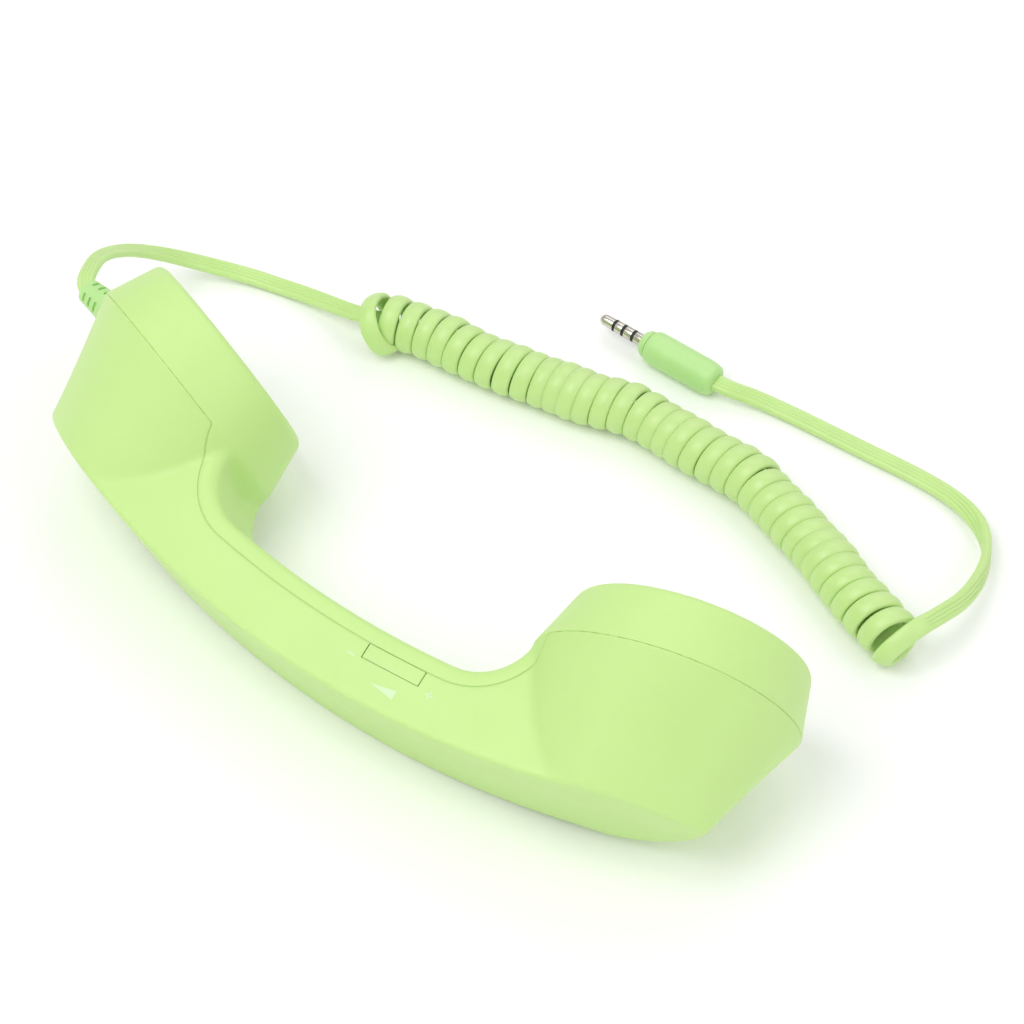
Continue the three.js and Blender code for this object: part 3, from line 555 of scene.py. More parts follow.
def net(field, low, high, step):
    """Triangles over a field's zero surface: one vertex in each grid cell that it crosses."""
    axes = [np.arange(a, b + step, step) for a, b in zip(low, high)]
    grid = np.stack(np.meshgrid(*axes, indexing="ij"), -1)
    value = field(grid)
    shape = np.array(value.shape) - 1
    total, count = np.zeros((*shape, 3)), np.zeros(shape)
    crossings = []
    for axis in range(3):
        b, c = (axis + 1) % 3, (axis + 2) % 3
        values = np.moveaxis(value, (axis, b, c), (0, 1, 2))
        places = np.moveaxis(grid, (axis, b, c), (0, 1, 2))
        first, second = values[:-1], values[1:]
        crossed = (first < 0) != (second < 0)
        part = np.where(crossed, first / np.where(crossed, first - second, 1), 0)
        at = places[:-1] + part[..., None] * (places[1:] - places[:-1])
        sums = np.moveaxis(total, (axis, b, c), (0, 1, 2))
        counts = np.moveaxis(count, (axis, b, c), (0, 1, 2))
        for db in (0, 1):
            for dc in (0, 1):
                inner = (slice(None), slice(db, db + shape[b]), slice(dc, dc + shape[c]))
                sums += np.where(crossed[inner][..., None], at[inner], 0)
                counts += crossed[inner]
        crossings.append((axis, b, c, crossed, first < 0))
    active = count > 0
    index = np.full(shape, -1)
    index[active] = np.arange(active.sum())
    quads = []
    for axis, b, c, crossed, leaving in crossings:
        cells = np.moveaxis(index, (axis, b, c), (0, 1, 2))
        inner = crossed[:, 1:-1, 1:-1]
        around = [cells[:, :-1, :-1], cells[:, 1:, :-1], cells[:, 1:, 1:], cells[:, :-1, 1:]]
        four = np.stack(around, -1)[inner]
        outward = leaving[:, 1:-1, 1:-1][inner]
        quads.append(np.where(outward[:, None], four, four[:, ::-1]))
    quads = np.concatenate(quads)
    points = onto(field, total[active] / count[active][:, None])
    p = points[quads]
    short = np.linalg.norm(p[:, 0] - p[:, 2], axis=1) <= np.linalg.norm(p[:, 1] - p[:, 3], axis=1)
    first = np.where(short[:, None], quads[:, [0, 1, 2]], quads[:, [1, 2, 3]])
    second = np.where(short[:, None], quads[:, [0, 2, 3]], quads[:, [1, 3, 0]])
    return points, np.concatenate([first, second])


def scored(points, triangles, level, field, near=0.22):
    """The same surface with edges along the curve level = 0. Points closer to it than near move onto it."""
    slope = gradient(level, points)
    normal = gradient(field, points)
    normal /= np.maximum(np.linalg.norm(normal, axis=1, keepdims=True), 1e-9)
    slope -= (slope * normal).sum(1, keepdims=True) * normal
    size = np.maximum((slope**2).sum(1), 0.02)
    value = level(points)
    close = (np.abs(value) / np.sqrt(size) < near) & (size > 0.05)
    points = points.copy()
    points[close] -= (value[close] / size[close])[:, None] * slope[close]
    points[close] = onto(field, points[close], 2)
    value = np.where(close, 0.0, value)
    sign = np.sign(value[triangles])
    mixed = (sign.max(1) > 0) & (sign.min(1) < 0)
    kept, cut_ones, signs = triangles[~mixed], triangles[mixed], sign[mixed]
    edges = np.concatenate([cut_ones[:, [0, 1]], cut_ones[:, [1, 2]], cut_ones[:, [2, 0]]])
    edges = np.sort(edges[value[edges[:, 0]] * value[edges[:, 1]] < 0], axis=1)
    edges = np.unique(edges, axis=0)
    a, b = points[edges[:, 0]], points[edges[:, 1]]
    va, vb = value[edges[:, 0]], value[edges[:, 1]]
    low, high = np.zeros(len(edges)), np.ones(len(edges))
    part = va / (va - vb)
    for _ in range(8):
        here = level(a + part[:, None] * (b - a))
        same = np.sign(here) == np.sign(va)
        low, high = np.where(same, part, low), np.where(same, high, part)
        part = (low + high) / 2
    fresh = onto(field, a + part[:, None] * (b - a), 2)
    number = {tuple(edge): len(points) + k for k, edge in enumerate(edges.tolist())}
    made = []
    for triangle, marks in zip(cut_ones.tolist(), signs.tolist()):
        between = lambda i, j: number[(min(i, j), max(i, j))]
        if 0 in marks:
            k = marks.index(0)
            p, q, r = triangle[k], triangle[(k + 1) % 3], triangle[(k + 2) % 3]
            m = between(q, r)
            made += [[p, q, m], [p, m, r]]
            continue
        k = next(i for i in range(3) if marks.count(marks[i]) == 1)
        p, q, r = triangle[k], triangle[(k + 1) % 3], triangle[(k + 2) % 3]
        m, n = between(p, q), between(p, r)
        made += [[p, m, n], [m, q, r], [m, r, n]]
    triangles = np.concatenate([kept, np.array(made, int).reshape(-1, 3)])
    return np.concatenate([points, fresh]), triangles


def used_only(points, triangles):
    """The same triangles without the points that none of them uses."""
    used, compact = np.unique(triangles, return_inverse=True)
    return points[used], compact.reshape(-1, 3)


# ------------------------ shells
def shell_skin(points, triangles, side):
    """Outer skin of the front (side 1) or back (side -1) shell, rounded inwards along the parting line."""
    past = lambda p: side * parting(p) - PARTING_GAP / 2
    for depth in (0.0, 0.3 * EDGE_ROUND, EDGE_ROUND):
        points, triangles = scored(points, triangles, lambda p: past(p) - depth, handset, near=0.06)
    centre = points[triangles].mean(1)
    points, triangles = used_only(points, triangles[past(centre) > 0])
    inward = -unit(gradient(handset, points))
    rest = np.clip(EDGE_ROUND - past(points), 0, EDGE_ROUND)
    sunk = EDGE_ROUND - np.sqrt(np.maximum(EDGE_ROUND**2 - rest**2, 0))
    return points + inward * sunk[:, None], triangles


def outer_surface():
    """The handset's whole surface, with edges along the rounded edge of its back."""
    low, high = (-112.3, -48.2, -35.4), (112.4, 26.3, 35.3)
    points, triangles = net(handset, low, high, NET_STEP)
    back_edge = lambda p: sides_only(p) - curved_back(p)
    for offset in (-BACK_ROUND, 0.0, BACK_ROUND):
        level = lambda p: back_edge(p) + offset
        points, triangles = scored(points, triangles, level, handset, near=0.25)
    return points, triangles


def walled(points, triangles, thickness):
    """A closed wall of even thickness under a part of the handset's outer surface."""
    inward = -unit(gradient(handset, points))
    n = len(points)
    edges = triangles[:, [0, 1, 1, 2, 2, 0]].reshape(-1, 2)
    paired = np.isin(edges[:, 0] * n + edges[:, 1], edges[:, 1] * n + edges[:, 0])
    a, b = edges[~paired].T
    rim = np.concatenate([np.stack([b, a, a + n], 1), np.stack([b, a + n, b + n], 1)])
    faces = np.concatenate([triangles, triangles[:, ::-1] + n, rim])
    return np.concatenate([points, points + thickness * inward]), faces


def cut_away(piece, tools):
    """Cuts closed parts, given in the row frame, out of a piece."""
    points, faces = joined(tools)
    cutter = add_piece("cutter", points, faces, "shell_plastic", body=None)
    cutter.modifiers.new("faces", "TRIANGULATE")
    bake_modifiers(cutter)
    difference = piece.modifiers.new("cut", "BOOLEAN")
    difference.operation = "DIFFERENCE"
    difference.solver = "MANIFOLD"
    difference.object = cutter
    bake_modifiers(piece)
    bpy.data.objects.remove(cutter)


def from_cup(side):
    """Function from a cup's frame (x outwards, y across, z up to the face) to the row frame."""
    cos, sin = math.cos(FACE_TILT), math.sin(FACE_TILT)

    def move(points):
        x, y, z = split(points)
        return place(np.stack([side * (CUP_U + x * cos - z * sin), x * sin + z * cos, -side * y], -1))

    return move


def from_seam(points):
    """From the rocker's frame (x along the parting line, y forwards, z across) to the row frame."""
    angle = math.asin(ROCKER_U / SEAM_ARC_R)
    cos, sin = math.cos(angle), math.sin(angle)
    x, y, z = split(points)
    v = ARC_V - SEAM_ARC_R * cos
    return place(np.stack([ROCKER_U + x * cos - y * sin, v + x * sin + y * cos, z], -1))


def from_relief(points):
    """From the strain relief's frame, z out along the cord, to the row frame."""
    cos, sin = math.cos(FACE_TILT), math.sin(FACE_TILT)
    root_u = -(CUP_U + CUP_R * cos + RELIEF_BEHIND * sin)
    root_v = CUP_R * sin - RELIEF_BEHIND * cos
    out = np.array([-math.cos(RELIEF_ANGLE), math.sin(RELIEF_ANGLE), 0])
    up = np.array([math.sin(RELIEF_ANGLE), math.cos(RELIEF_ANGLE), 0])
    across = np.cross(out, up)
    x, y, z = split(points)
    root = np.array([root_u, root_v, 0])
    return place(root + x[..., None] * up + y[..., None] * across + z[..., None] * out)


def from_above(points):
    """From a frame with z along v and y along -w to the row frame."""
    x, y, z = split(points)
    return place(np.stack([x, z, -y], -1))


def shifted(part, x, y, z=0.0):
    return np.asarray(part[0]) + np.array([x, y, z]), part[1]


def polar(radius, angle):
    return radius * math.cos(angle), radius * math.sin(angle)


def sound_holes(side, rings):
    """Cutters with a small countersink at the face."""
    face = CAP_HEIGHT
    mouth_r = HOLE_R + SINK
    profile = [(HOLE_R, face - 4), (HOLE_R, face - 0.3), (mouth_r, face + 0.05), (mouth_r, face + 2)]
    tools = []
    for count, radius in rings:
        for i in range(count):
            hole = lathe([(0.02, face - 4), *profile, (0.02, face + 2)], 24)
            tools.append(mapped(shifted(hole, *polar(radius, 2 * math.pi * i / count)), from_cup(side)))
    return tools


def oblong_ring(half_length, half_width, z, steps=10):
    """Ring of points on a slot's outline: two half circles joined by straight sides."""
    ring = []
    for start, x in ((-math.pi / 2, half_length - half_width), (math.pi / 2, half_width - half_length)):
        for a in np.linspace(start, start + math.pi, steps):
            ring.append((x + half_width * math.cos(a), half_width * math.sin(a), z))
    return np.array(ring)


def boss(x, y, radius, low, high):
    """Screw boss with its pilot hole."""
    ring = [(PILOT_R, low), (radius, low), (radius, high), (PILOT_R, high), (PILOT_R, low)]
    return shifted(lathe(ring, 32), x, y)


def make_shells():
    points, triangles = outer_surface()
    front_points, front_faces = walled(*shell_skin(points, triangles, 1), WALL)
    front = add_piece("front_shell_skin", place(front_points), front_faces, "shell_plastic",
                      nodes=["front_shell"])
    window = skin([oblong_ring(BUTTON_HALF[0] + BUTTON_GAP, BUTTON_HALF[1] + BUTTON_GAP, z)
                   for z in (HANDLE_FRONT_V - 4, HANDLE_FRONT_V + 2)])
    relief_hole = mapped(lathe([(0.02, -7), (4.5, -7), (4.5, 6), (0.02, 6)], 48), from_relief)
    holes = sound_holes(1, [(1, 0.0), (6, 5.4), (12, 10.8)]) + sound_holes(-1, [(1, 0.0), (6, 4.8)])
    cut_away(front, [mapped(window, from_above), relief_hole, *holes])
    dress(front, "shell_plastic")

    back_points, back_faces = walled(*shell_skin(points, triangles, -1), WALL)
    back = add_piece("back_shell_skin", place(back_points), back_faces, "shell_plastic",
                     nodes=["back_shell"])
    reach = ROCKER_HALF + ROCKER_GAP
    rocker_window = rounded_box((-reach, -ROCKER_DEEP - 0.1, 12.6), (reach, 3, 20), 0.3)
    cut_away(back, [mapped(rocker_window, from_seam), relief_hole])
    dress(back, "shell_plastic")
    lip_window = rounded_box((-reach, -ROCKER_DEEP, 10), (reach, PARTING_GAP / 2, 20), 0.1)
    make_lip(points, triangles, [mapped(lip_window, from_seam), relief_hole])
    make_bosses()


def make_lip(points, triangles, cutters):
    """The shells' overlapping lip just below the parting line."""
    for level in (-LIP, LIP):
        points, triangles = scored(points, triangles, lambda p: parting(p) - level, handset)
    points, triangles = used_only(points, triangles[np.abs(parting(points[triangles].mean(1))) < LIP])
    points, triangles = walled(points, triangles, 1.0)
    half = len(points) // 2
    points[:half] += 0.3 * (points[half:] - points[:half])
    lip = add_piece("parting_lip", place(points), triangles, "shell_plastic")
    cut_away(lip, cutters)
    dress(lip, "shell_plastic")


def make_bosses():
    """Screw bosses inside the shells."""
    ear = [boss(*polar(22.4, math.radians(a)), 2.6, 9.7, 14.2) for a in (90, 210, 330)]
    mouth = [boss(x, 0, 2.6, 6.5, 14.2) for x in (-11, 11)]
    front = [mapped(b, from_cup(1)) for b in ear] + [mapped(b, from_cup(-1)) for b in mouth]
    add_piece("front_shell_bosses", *joined(front), "shell_plastic")
    board = [mapped(boss(u, 0, 2.6, -41.6, -35.1), from_above) for u in (-34, 38)]
    ballast = [mapped(boss(u, 0, 3.0, -43.6, -40.1), from_above) for u in (-18, 18)]
    add_piece("back_shell_bosses", *joined(board + ballast), "shell_plastic")


# ------------------------ cord
LEAD_STEP = 0.001  # between the points of the cord's path
TURN_STEPS = 26  # points on each even turn
HELIX_R = (COIL_R - CORD_THICK / 2) * MM  # middle of the cord
# The first loop is wider and leans over the second, and the last turn rises straight into the lead. Both are
# points (along, forwards, height) in metres from the start or the end of the coil's axis.
FIRST_LOOP = [
    (-0.0010, 0.0000, 0.0073), (0.0035, -0.0010, 0.0066), (0.0070, -0.0008, 0.0044), (0.0089, 0.0018, 0.0026),
    (0.0086, 0.0054, 0.0026), (0.0068, 0.0081, 0.0048), (0.0047, 0.0088, 0.0084), (0.0028, 0.0077, 0.0117),
    (0.0012, 0.0046, 0.0137), (0.0006, 0.0009, 0.0140), (0.0009, -0.0032, 0.0125), (0.0019, -0.0058, 0.0085),
    (0.0039, -0.0052, 0.0039),
]
LAST_TURN = [
    (-0.0007, 0.0024, 0.0018), (0.0000, 0.0043, 0.0030), (0.0008, 0.0057, 0.0050), (0.0014, 0.0051, 0.0073),
    (0.0018, 0.0034, 0.0092), (0.0020, 0.0010, 0.0107), (0.0021, -0.0016, 0.0119), (0.0022, -0.0047, 0.0128),
]
COIL_START = 0.0057  # along the axis, where the even turns start
COIL_REST = 0.0012  # and how far before its end they stop
COIL_HEIGHT = 0.00745
COIL_LEAN = 0.0016  # how far the first turns lean back at most
COIL_FOOT = math.radians(64)  # the point of a turn that stays in place when it leans
FIRST_LOOP_MIDDLE = (0.0042, 0.0012, 0.0080)
LEAD_HINT = (0.1, -0.28, 0.95)  # the flat side of the lead is turned a little towards the front
RIBBON_HINT = (-0.42, 0.52, -0.74)  # and the last turn shows its flat side
# From the coil to the plug the lead turns over: (route point, direction of its flat side).
PLUG_LEAD_HINTS = [
    (0, RIBBON_HINT), (1, RIBBON_HINT), (3, (-0.66, 0.10, -0.55)), (5.4, (-0.77, -0.63, 0.0)),
    (7.2, (-0.40, -0.55, 0.66)), (9, (0.0, -0.3, 0.95)), (20, (0.0, -0.3, 0.95)),
]
LEAD_TRIM = 1  # the lead's last point is the coil's first
INSIDE = 0.0012  # the cord's ends reach this far into the strain relief and the plug


def smooth_line(points, step):
    """Points about a step apart on a centripetal Catmull-Rom curve through the given ones."""
    points = np.asarray(points, float)
    points = np.concatenate([[2 * points[0] - points[1]], points, [2 * points[-1] - points[-2]]])
    made = []
    for p0, p1, p2, p3 in zip(points, points[1:], points[2:], points[3:]):
        t1 = np.linalg.norm(p1 - p0) ** 0.5
        t2 = t1 + np.linalg.norm(p2 - p1) ** 0.5
        t3 = t2 + np.linalg.norm(p3 - p2) ** 0.5
        count = max(1, round(np.linalg.norm(p2 - p1) / step))
        t = np.linspace(t1, t2, count, endpoint=False)[:, None]
        a1 = (t1 - t) / t1 * p0 + t / t1 * p1
        a2 = (t2 - t) / (t2 - t1) * p1 + (t - t1) / (t2 - t1) * p2
        a3 = (t3 - t) / (t3 - t2) * p2 + (t - t2) / (t3 - t2) * p3
        b1 = (t2 - t) / t2 * a1 + t / t2 * a2
        b2 = (t3 - t) / (t3 - t1) * a2 + (t - t1) / (t3 - t1) * a3
        made.append((t2 - t) / (t2 - t1) * b1 + (t - t1) / (t2 - t1) * b2)
    return np.concatenate([*made, points[-2:-1]])


def run_length(points):
    return np.concatenate([[0], np.cumsum(np.linalg.norm(np.diff(points, axis=0), axis=1))])


def bump(x, middle, width):
    """1 at the middle, falling smoothly to nothing over about twice the width."""
    return np.exp(-(((x - middle) / width) ** 2))


def coil_frame(axis, at_end):
    """Row-frame point from (along, forwards, height) at an end of the coil's axis."""
    origin = axis[-1] if at_end else axis[0]
    along = axis[-1] - axis[-16] if at_end else axis[15] - axis[0]
    along = along / np.linalg.norm(along)
    forwards = np.array([along[1], -along[0], 0.0])
    return lambda p: np.array([origin[0], origin[1], 0.0]) + p[0] * along + p[1] * forwards + [0, 0, p[2]]


def coil_pitch(turn):
    """Distance between neighbouring turns in mm: open at both ends, tight and loose in places between."""
    pitch = 5.05 + 0.65 * bump(turn, 1.0, 3.2) + 0.15 * bump(turn, 9.0, 1.6) - 0.75 * bump(turn, 12.2, 1.7)
    pitch += 0.4 * bump(turn, 15.6, 1.6) - 0.3 * bump(turn, 18.6, 1.5) + 0.2 * bump(turn, 21.3, 1.4)
    pitch += 0.5 * bump(turn, 23.6, 0.7) - 0.55 * bump(turn, 30.0, 1.9) + 0.7 * bump(turn, 36.5, 3.0)
    return pitch


def coil_turns():
    """Route of the curly part, and at each of its points the direction towards the coil's axis."""
    axis = smooth_line(COIL_ROUTE, 0.0005)
    run = run_length(axis)
    turn = 1 + np.arange(int((TURNS - 1) * TURN_STEPS) + 1) / TURN_STEPS
    pitch = coil_pitch(turn)
    along = np.concatenate([[0], np.cumsum((pitch[1:] + pitch[:-1]) / 2)])
    along = COIL_START + (run[-1] - COIL_REST - COIL_START) * along / along[-1]
    angle = 2 * math.pi * turn
    along -= COIL_LEAN * bump(turn, 1.0, 4.5) * (1 - np.cos(angle - COIL_FOOT)) / 2
    centre = np.stack([np.interp(along, run, axis[:, k]) for k in range(3)], 1)
    centre[:, 2] = COIL_HEIGHT
    ahead = np.stack([np.interp(along + 0.002, run, axis[:, k]) for k in range(3)], 1)
    behind = np.stack([np.interp(along - 0.002, run, axis[:, k]) for k in range(3)], 1)
    forward = unit(ahead - behind)
    up = np.array([0.0, 0.0, 1.0])
    side = np.cross(up, forward)
    out = -np.cos(angle)[:, None] * up - np.sin(angle)[:, None] * side
    radius = HELIX_R * (1 + 0.02 * np.sin(1.7 * turn) + 0.015 * np.sin(0.63 * turn))
    sway = 0.0003 * np.sin(0.9 * turn) + 0.0006 * bump(turn, 15.4, 1.2) + 0.0005 * bump(turn, 23.4, 0.9)
    turns = centre + (radius - HELIX_R)[:, None] * up + sway[:, None] * side + radius[:, None] * out
    start, end = coil_frame(axis, False), coil_frame(axis, True)
    first = np.array([start(p) for p in FIRST_LOOP])
    last = np.array([end(p) for p in LAST_TURN])
    first_in = unit(np.array([start(FIRST_LOOP_MIDDLE) - p for p in first]))
    first_in[:3] = up
    first_in[5:8] += 1.5 * np.array(RIBBON_HINT)
    last_in = unit(np.array([end((p[0], 0.0, COIL_HEIGHT)) for p in LAST_TURN]) - last)
    last_in[1] += 0.5 * np.array(RIBBON_HINT)
    last_in[2:] = RIBBON_HINT
    return np.concatenate([first, turns, last]), unit(np.concatenate([first_in, -out, last_in]))


def cord_section(groove, crown):
    """Outline of the flat cord as (width, thickness) in metres, each face crowned and with three grooves."""
    a, b, edge = CORD_WIDTH / 2 * MM, CORD_THICK / 2 * MM, CORD_EDGE * MM
    flat = a - edge
    across, depth = [], []
    for middle in (-GROOVE_APART * MM, 0.0, GROOVE_APART * MM):
        across += [middle - GROOVE_HALF * MM, middle, middle + GROOVE_HALF * MM]
        depth += [0.0, groove, 0.0]
    across, depth = [-flat, *across, flat], [0.0, *depth, 0.0]
    top = [(x, b - d - crown * (x / flat) ** 2) for x, d in zip(across, depth)]
    turns = np.linspace(math.pi / 2, -math.pi / 2, 9)[1:-1]
    right = [(flat + edge * math.cos(t), (b - crown) * math.sin(t)) for t in turns]
    half = top + right
    return np.array(half + [(-x, -y) for x, y in half])


def make_cord():
    """The whole cord in one piece: flat lead, curly part and flat lead to the plug."""
    coil, inward = coil_turns()
    exit_point = from_relief(np.array([[0, 0, RELIEF_LENGTH]]))[0]
    exit_back = from_relief(np.array([[0, 0, RELIEF_LENGTH - INSIDE / MM]]))[0]
    plug_end = np.array(PLUG_SHOULDER) * MM + np.array([GRIP_LENGTH * MM, 0, 0])
    first = [exit_back, exit_point, *LEAD_ROUTE[:-LEAD_TRIM]]
    last = [*PLUG_LEAD_ROUTE[::-1], plug_end, plug_end - np.array([INSIDE, 0, 0])]
    route = np.concatenate([first, coil, last])
    turned = [[np.interp(k, *zip(*[(at, hint[i]) for at, hint in PLUG_LEAD_HINTS])) for i in range(3)]
              for k in range(len(last))]
    hints = np.concatenate([[LEAD_HINT] * len(first), inward, turned])
    coiled = np.concatenate([[0.0] * len(first), [1.0] * len(coil), [0.0] * len(last)])
    even = coiled.copy()  # 1 on the even turns, and 0 where the path may be smoothed
    even[len(first):len(first) + len(FIRST_LOOP)] = 0
    even[len(first) + len(coil) - len(LAST_TURN):] = 0
    line = smooth_line(route, LEAD_STEP)
    knots = match_knots(line, route)
    at = run_length(line)
    hint = np.stack([np.interp(at, knots, hints[:, k]) for k in range(3)], 1)
    mask = np.interp(at, knots, coiled)
    even = np.interp(at, knots, even)[:, None]
    line = even * line + (1 - even) * smoothed(line, 6)
    tangent = unit(np.gradient(line, axis=0))
    upright = lambda vectors: unit(vectors - (vectors * tangent).sum(1, keepdims=True) * tangent)
    normal = upright(smoothed(upright(hint), 3))
    width = np.cross(tangent, normal)
    rings = []
    for p, n, w, m in zip(line, normal, width, mask):
        outline = cord_section(GROOVE * MM * (1 - m), (CROWN + COIL_CROWN * m) * MM)
        rings.append(p + outline[:, :1] * w * (1 + COIL_WIDENED * m) + outline[:, 1:] * n)
    points, faces = skin(rings)
    cord = add_piece("curly_cord", points, faces, "cord_jacket",
                     nodes=["cord_lead_handset", "cord_coil", "cord_lead_plug"], sharp=60)
    return cord, line, exit_point, float(at[-1])


def match_knots(line, route):
    """Run length along the line at which it passes each route point."""
    run = run_length(line)
    counts = [max(1, round(float(np.linalg.norm(b - a)) / LEAD_STEP)) for a, b in zip(route, route[1:])]
    return run[np.concatenate([[0], np.cumsum(counts)])]


def smoothed(values, rounds):
    """Values averaged with their neighbours, the two ends kept."""
    for _ in range(rounds):
        middle = (values[:-2] + 2 * values[1:-1] + values[2:]) / 4
        values = np.concatenate([values[:1], middle, values[-1:]])
    return values


# ------------------------ strain relief
RELIEF_FLANGE_R = 5.4  # flange that holds it inside the shells
RELIEF_R = 4.25
RELIEF_TAPER = 0.85  # radius lost from where the taper starts to the end
RELIEF_TAPER_AT = 4.0
RELIEF_SLOTS = (4.8, 7.2, 9.6)  # rows of slots, from the parting ring outwards
SLOTS_AROUND = 4
SLOT_DEPTH = 0.6


def make_strain_relief():
    profile = [
        (RELIEF_FLANGE_R, -6.2), (RELIEF_FLANGE_R, -5.0), (RELIEF_R, -5.0), (RELIEF_R, RELIEF_TAPER_AT),
        (RELIEF_R - RELIEF_TAPER, RELIEF_LENGTH), (2.9, RELIEF_LENGTH),
    ]
    body = mapped(solid_lathe(profile, 0.5), from_relief)
    relief = add_piece("strain_relief_sleeve", *body, "mint_plastic", nodes=["strain_relief"])
    tools = []
    for z in RELIEF_SLOTS:
        radius = RELIEF_R - (z - RELIEF_TAPER_AT) * RELIEF_TAPER / (RELIEF_LENGTH - RELIEF_TAPER_AT)
        for i in range(SLOTS_AROUND):
            turn = 2 * math.pi * (i + 0.5) / SLOTS_AROUND
            tools.append(mapped(relief_slot(radius, z, turn), from_relief))
    cut_away(relief, tools)
    dress(relief, "mint_plastic")
    return relief


def relief_slot(radius, z, turn):
    """Cutter for a slot that runs part of the way round the sleeve."""
    rings = []
    for depth in (radius - SLOT_DEPTH, radius + 1.0):
        ring = []
        for x, y, _ in oblong_ring(0.42 * radius, 0.5, 0, 8):
            around = turn + x / radius
            ring.append((depth * math.cos(around), depth * math.sin(around), z + y))
        rings.append(np.array(ring))
    return skin(rings)


# ------------------------ plug
def along_plug(points):
    """From the plug's own frame, z from its tip to its rear, to the row frame."""
    x, y, z = split(points)
    tip = np.array(PLUG_SHOULDER) - np.array([PLUG_LENGTH, 0, 0])
    return (tip + np.stack([z, y, -x], -1)) * MM


def make_plug():
    tip = [(0.85, 0.0), (1.45, 0.8), (1.6, 1.3), (1.6, 4.55)]
    rear = PLUG_LENGTH + GRIP_LENGTH
    black = PLUG_R - 0.03
    contacts = [
        ("plug_tip", tip, "plated_contact"),
        ("plug_insulator_1", [(black, 4.6), (black, 5.4)], "black_plastic"),
        ("plug_ring_1", [(PLUG_R, 5.45), (PLUG_R, 7.65)], "plated_contact"),
        ("plug_insulator_2", [(black, 7.7), (black, 8.5)], "black_plastic"),
        ("plug_ring_2", [(PLUG_R, 8.55), (PLUG_R, 11.05)], "plated_contact"),
        ("plug_insulator_3", [(black, 11.1), (black, 11.9)], "black_plastic"),
        ("plug_sleeve", [(PLUG_R, 11.95), (PLUG_R, 16.7)], "plated_contact"),
    ]
    made = []
    for node, profile, slot in contacts:
        radius = 0.2 if node == "plug_tip" else 0.06
        part = mapped(solid_lathe(profile, radius), along_plug)
        made.append(add_piece(node + "_turned", *part, slot, nodes=[node]))
    bore = PLUG_R + 0.08
    collar = [
        (bore, PLUG_LENGTH), (2.7, PLUG_LENGTH), (3.75, PLUG_LENGTH + 1.1), (3.95, COLLAR_END),
        (bore, COLLAR_END),
    ]
    collar = softened([*collar, collar[0]], 0.4)
    made.append(add_piece("plug_collar_moulding", *mapped(lathe(collar), along_plug), "mint_plastic",
                          nodes=["plug_collar"]))
    grip = [(4.15, COLLAR_END + 0.05), (GRIP_R, 18.5), (GRIP_R, rear - 3.0), (4.2, rear - 0.6), (2.9, rear)]
    made.append(add_piece("plug_grip", *mapped(solid_lathe(grip, 1.0), along_plug), "mint_plastic",
                          nodes=["plug_body"]))
    return made


# ------------------------ keys on the handle
def make_rocker():
    """Volume rocker: a rounded plate with its knuckle and two pads behind."""
    top = HANDLE_HALF + 0.1
    plate = rounded_box((-ROCKER_HALF, -ROCKER_DEEP, top - 2.6), (ROCKER_HALF, 0, top), 0.25)
    parts = [plate]
    knuckle = lathe([(0.95, -3.7), (1.4, -3.7), (1.4, -0.4), (0.95, -0.4), (0.95, -3.7)], 32)
    knuckle_points, knuckle_faces = knuckle
    x, y, z = split(knuckle_points)
    parts.append((np.stack([x, z, ROCKER_PIN_W - y], -1), knuckle_faces))
    parts.append(rounded_box((-1.2, -3.7, ROCKER_PIN_W + 0.9), (1.2, -0.4, top - 2.0), 0.2))
    for t in (-5.8, 5.8):
        parts.append(rounded_box((t - 0.8, -3.2, ROCKER_PIN_W - 0.1), (t + 0.8, -1.0, top - 2.0), 0.25))
    rocker = mapped(joined(parts), from_seam)
    add_piece("volume_rocker_key", *rocker, "shell_plastic", body="volume_key", nodes=["volume_rocker"])


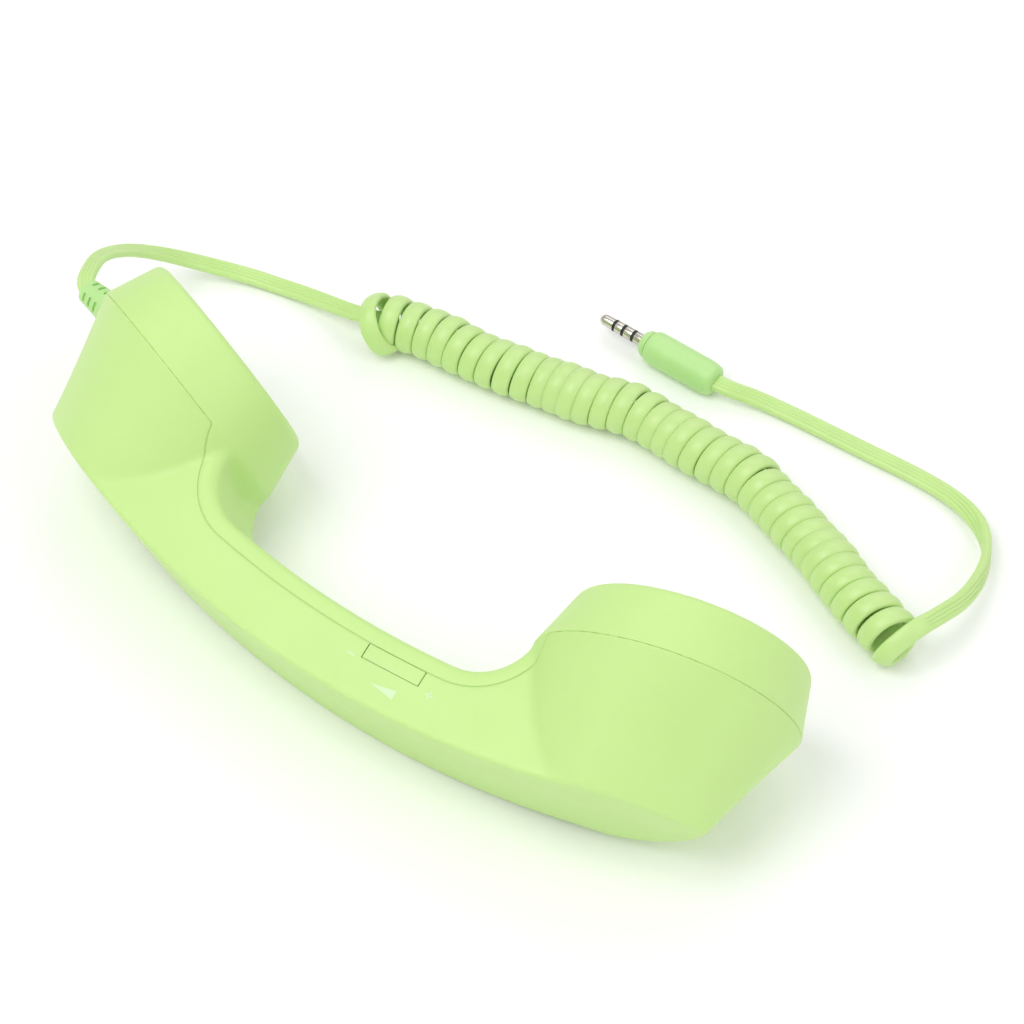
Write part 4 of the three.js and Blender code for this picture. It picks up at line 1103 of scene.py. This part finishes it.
def make_button():
    """Answer button with a softly dished top, its flange behind the shell and its stem."""
    front = HANDLE_FRONT_V + BUTTON_PROUD
    flange_top = HANDLE_FRONT_V - WALL - 0.6
    half_length, half_width = BUTTON_HALF
    levels = [(1.2, flange_top - 0.8), (1.2, flange_top), (0.0, flange_top + 0.02), (0.0, front - 0.5)]
    levels += [(-0.5 * (1 - math.cos(a)), front - 0.5 + 0.5 * math.sin(a)) for a in (0.4, 0.8, 1.2, 1.57)]
    levels += [(-1.4, front - 0.06), (-2.4, front - 0.12), (-3.0, front - 0.14)]
    rings = [oblong_ring(half_length + grow, half_width + grow, z, 16) for grow, z in levels]
    parts = [skin(rings), lathe([(0.02, flange_top - 1.5), (1.5, flange_top - 1.5), (1.5, flange_top - 0.4),
                                 (0.02, flange_top - 0.4)], 32)]
    add_piece("answer_button_key", *mapped(joined(parts), from_above), "shell_plastic",
              body="answer_key", nodes=["answer_button"])


def make_marks():
    """Generic printed marks beside the rocker: minus, plus and a widening wedge."""
    top = HANDLE_HALF + 0.02
    bars = [
        ((-12.1, -4.45), (-9.9, -4.05)),
        ((10.9, -4.75), (13.1, -4.35)),
        ((11.8, -5.65), (12.2, -3.45)),
    ]
    parts = [rounded_box((x0, y0, top - 0.12), (x1, y1, top), 0.05) for (x0, y0), (x1, y1) in bars]
    wedge = [(-2.6, -8.4), (4.4, -9.6), (4.4, -7.2)]
    parts.append(skin([np.array([(x, y, z) for x, y in wedge]) for z in (top - 0.12, top)]))
    marks = add_piece("volume_marks", *mapped(joined(parts), from_seam), "white_plastic")
    marks.data.materials.clear()
    marks.data.materials.append(surface(
        "pale_print", srgb(214, 240, 190), srgb(208, 236, 184), 0.5, 3000, 0.000005, cloud=200,
    ))


# ------------------------ carried-over CAD nodes
def dress_cad_nodes():
    """Every CAD node that stays gets the procedural material of its slot."""
    slots = {part["node"]: part["material_slot"] for part in frame["record"]["subparts"]}
    for name, node in frame["nodes"].items():
        node.data.materials.clear()
        node.data.materials.append(materials[slots[name]])


def make_floor():
    size = 4.0
    points, faces = rounded_box((-size, -size, -0.02), (size, size, -0.0002), 0.01)
    floor = add_piece("floor", points, faces, "white_plastic", body=None)
    floor.data.materials.clear()
    floor.data.materials.append(surface(
        "floor_paper", srgb(246, 246, 246), srgb(244, 244, 244), 0.8, 900, 0.00001, cloud=6,
        Emission_Color=(1.0, 1.0, 1.0, 1.0), Emission_Strength=0.08,
    ))


REST_SHIFT = find_rest_shift()

make_camera()
make_studio()
materials = make_materials()
cord, cord_line, cord_exit, cord_length = make_cord()
dress_cad_nodes()
make_shells()
relief = make_strain_relief()
plug = make_plug()
make_rocker()
make_button()
make_marks()
make_floor()
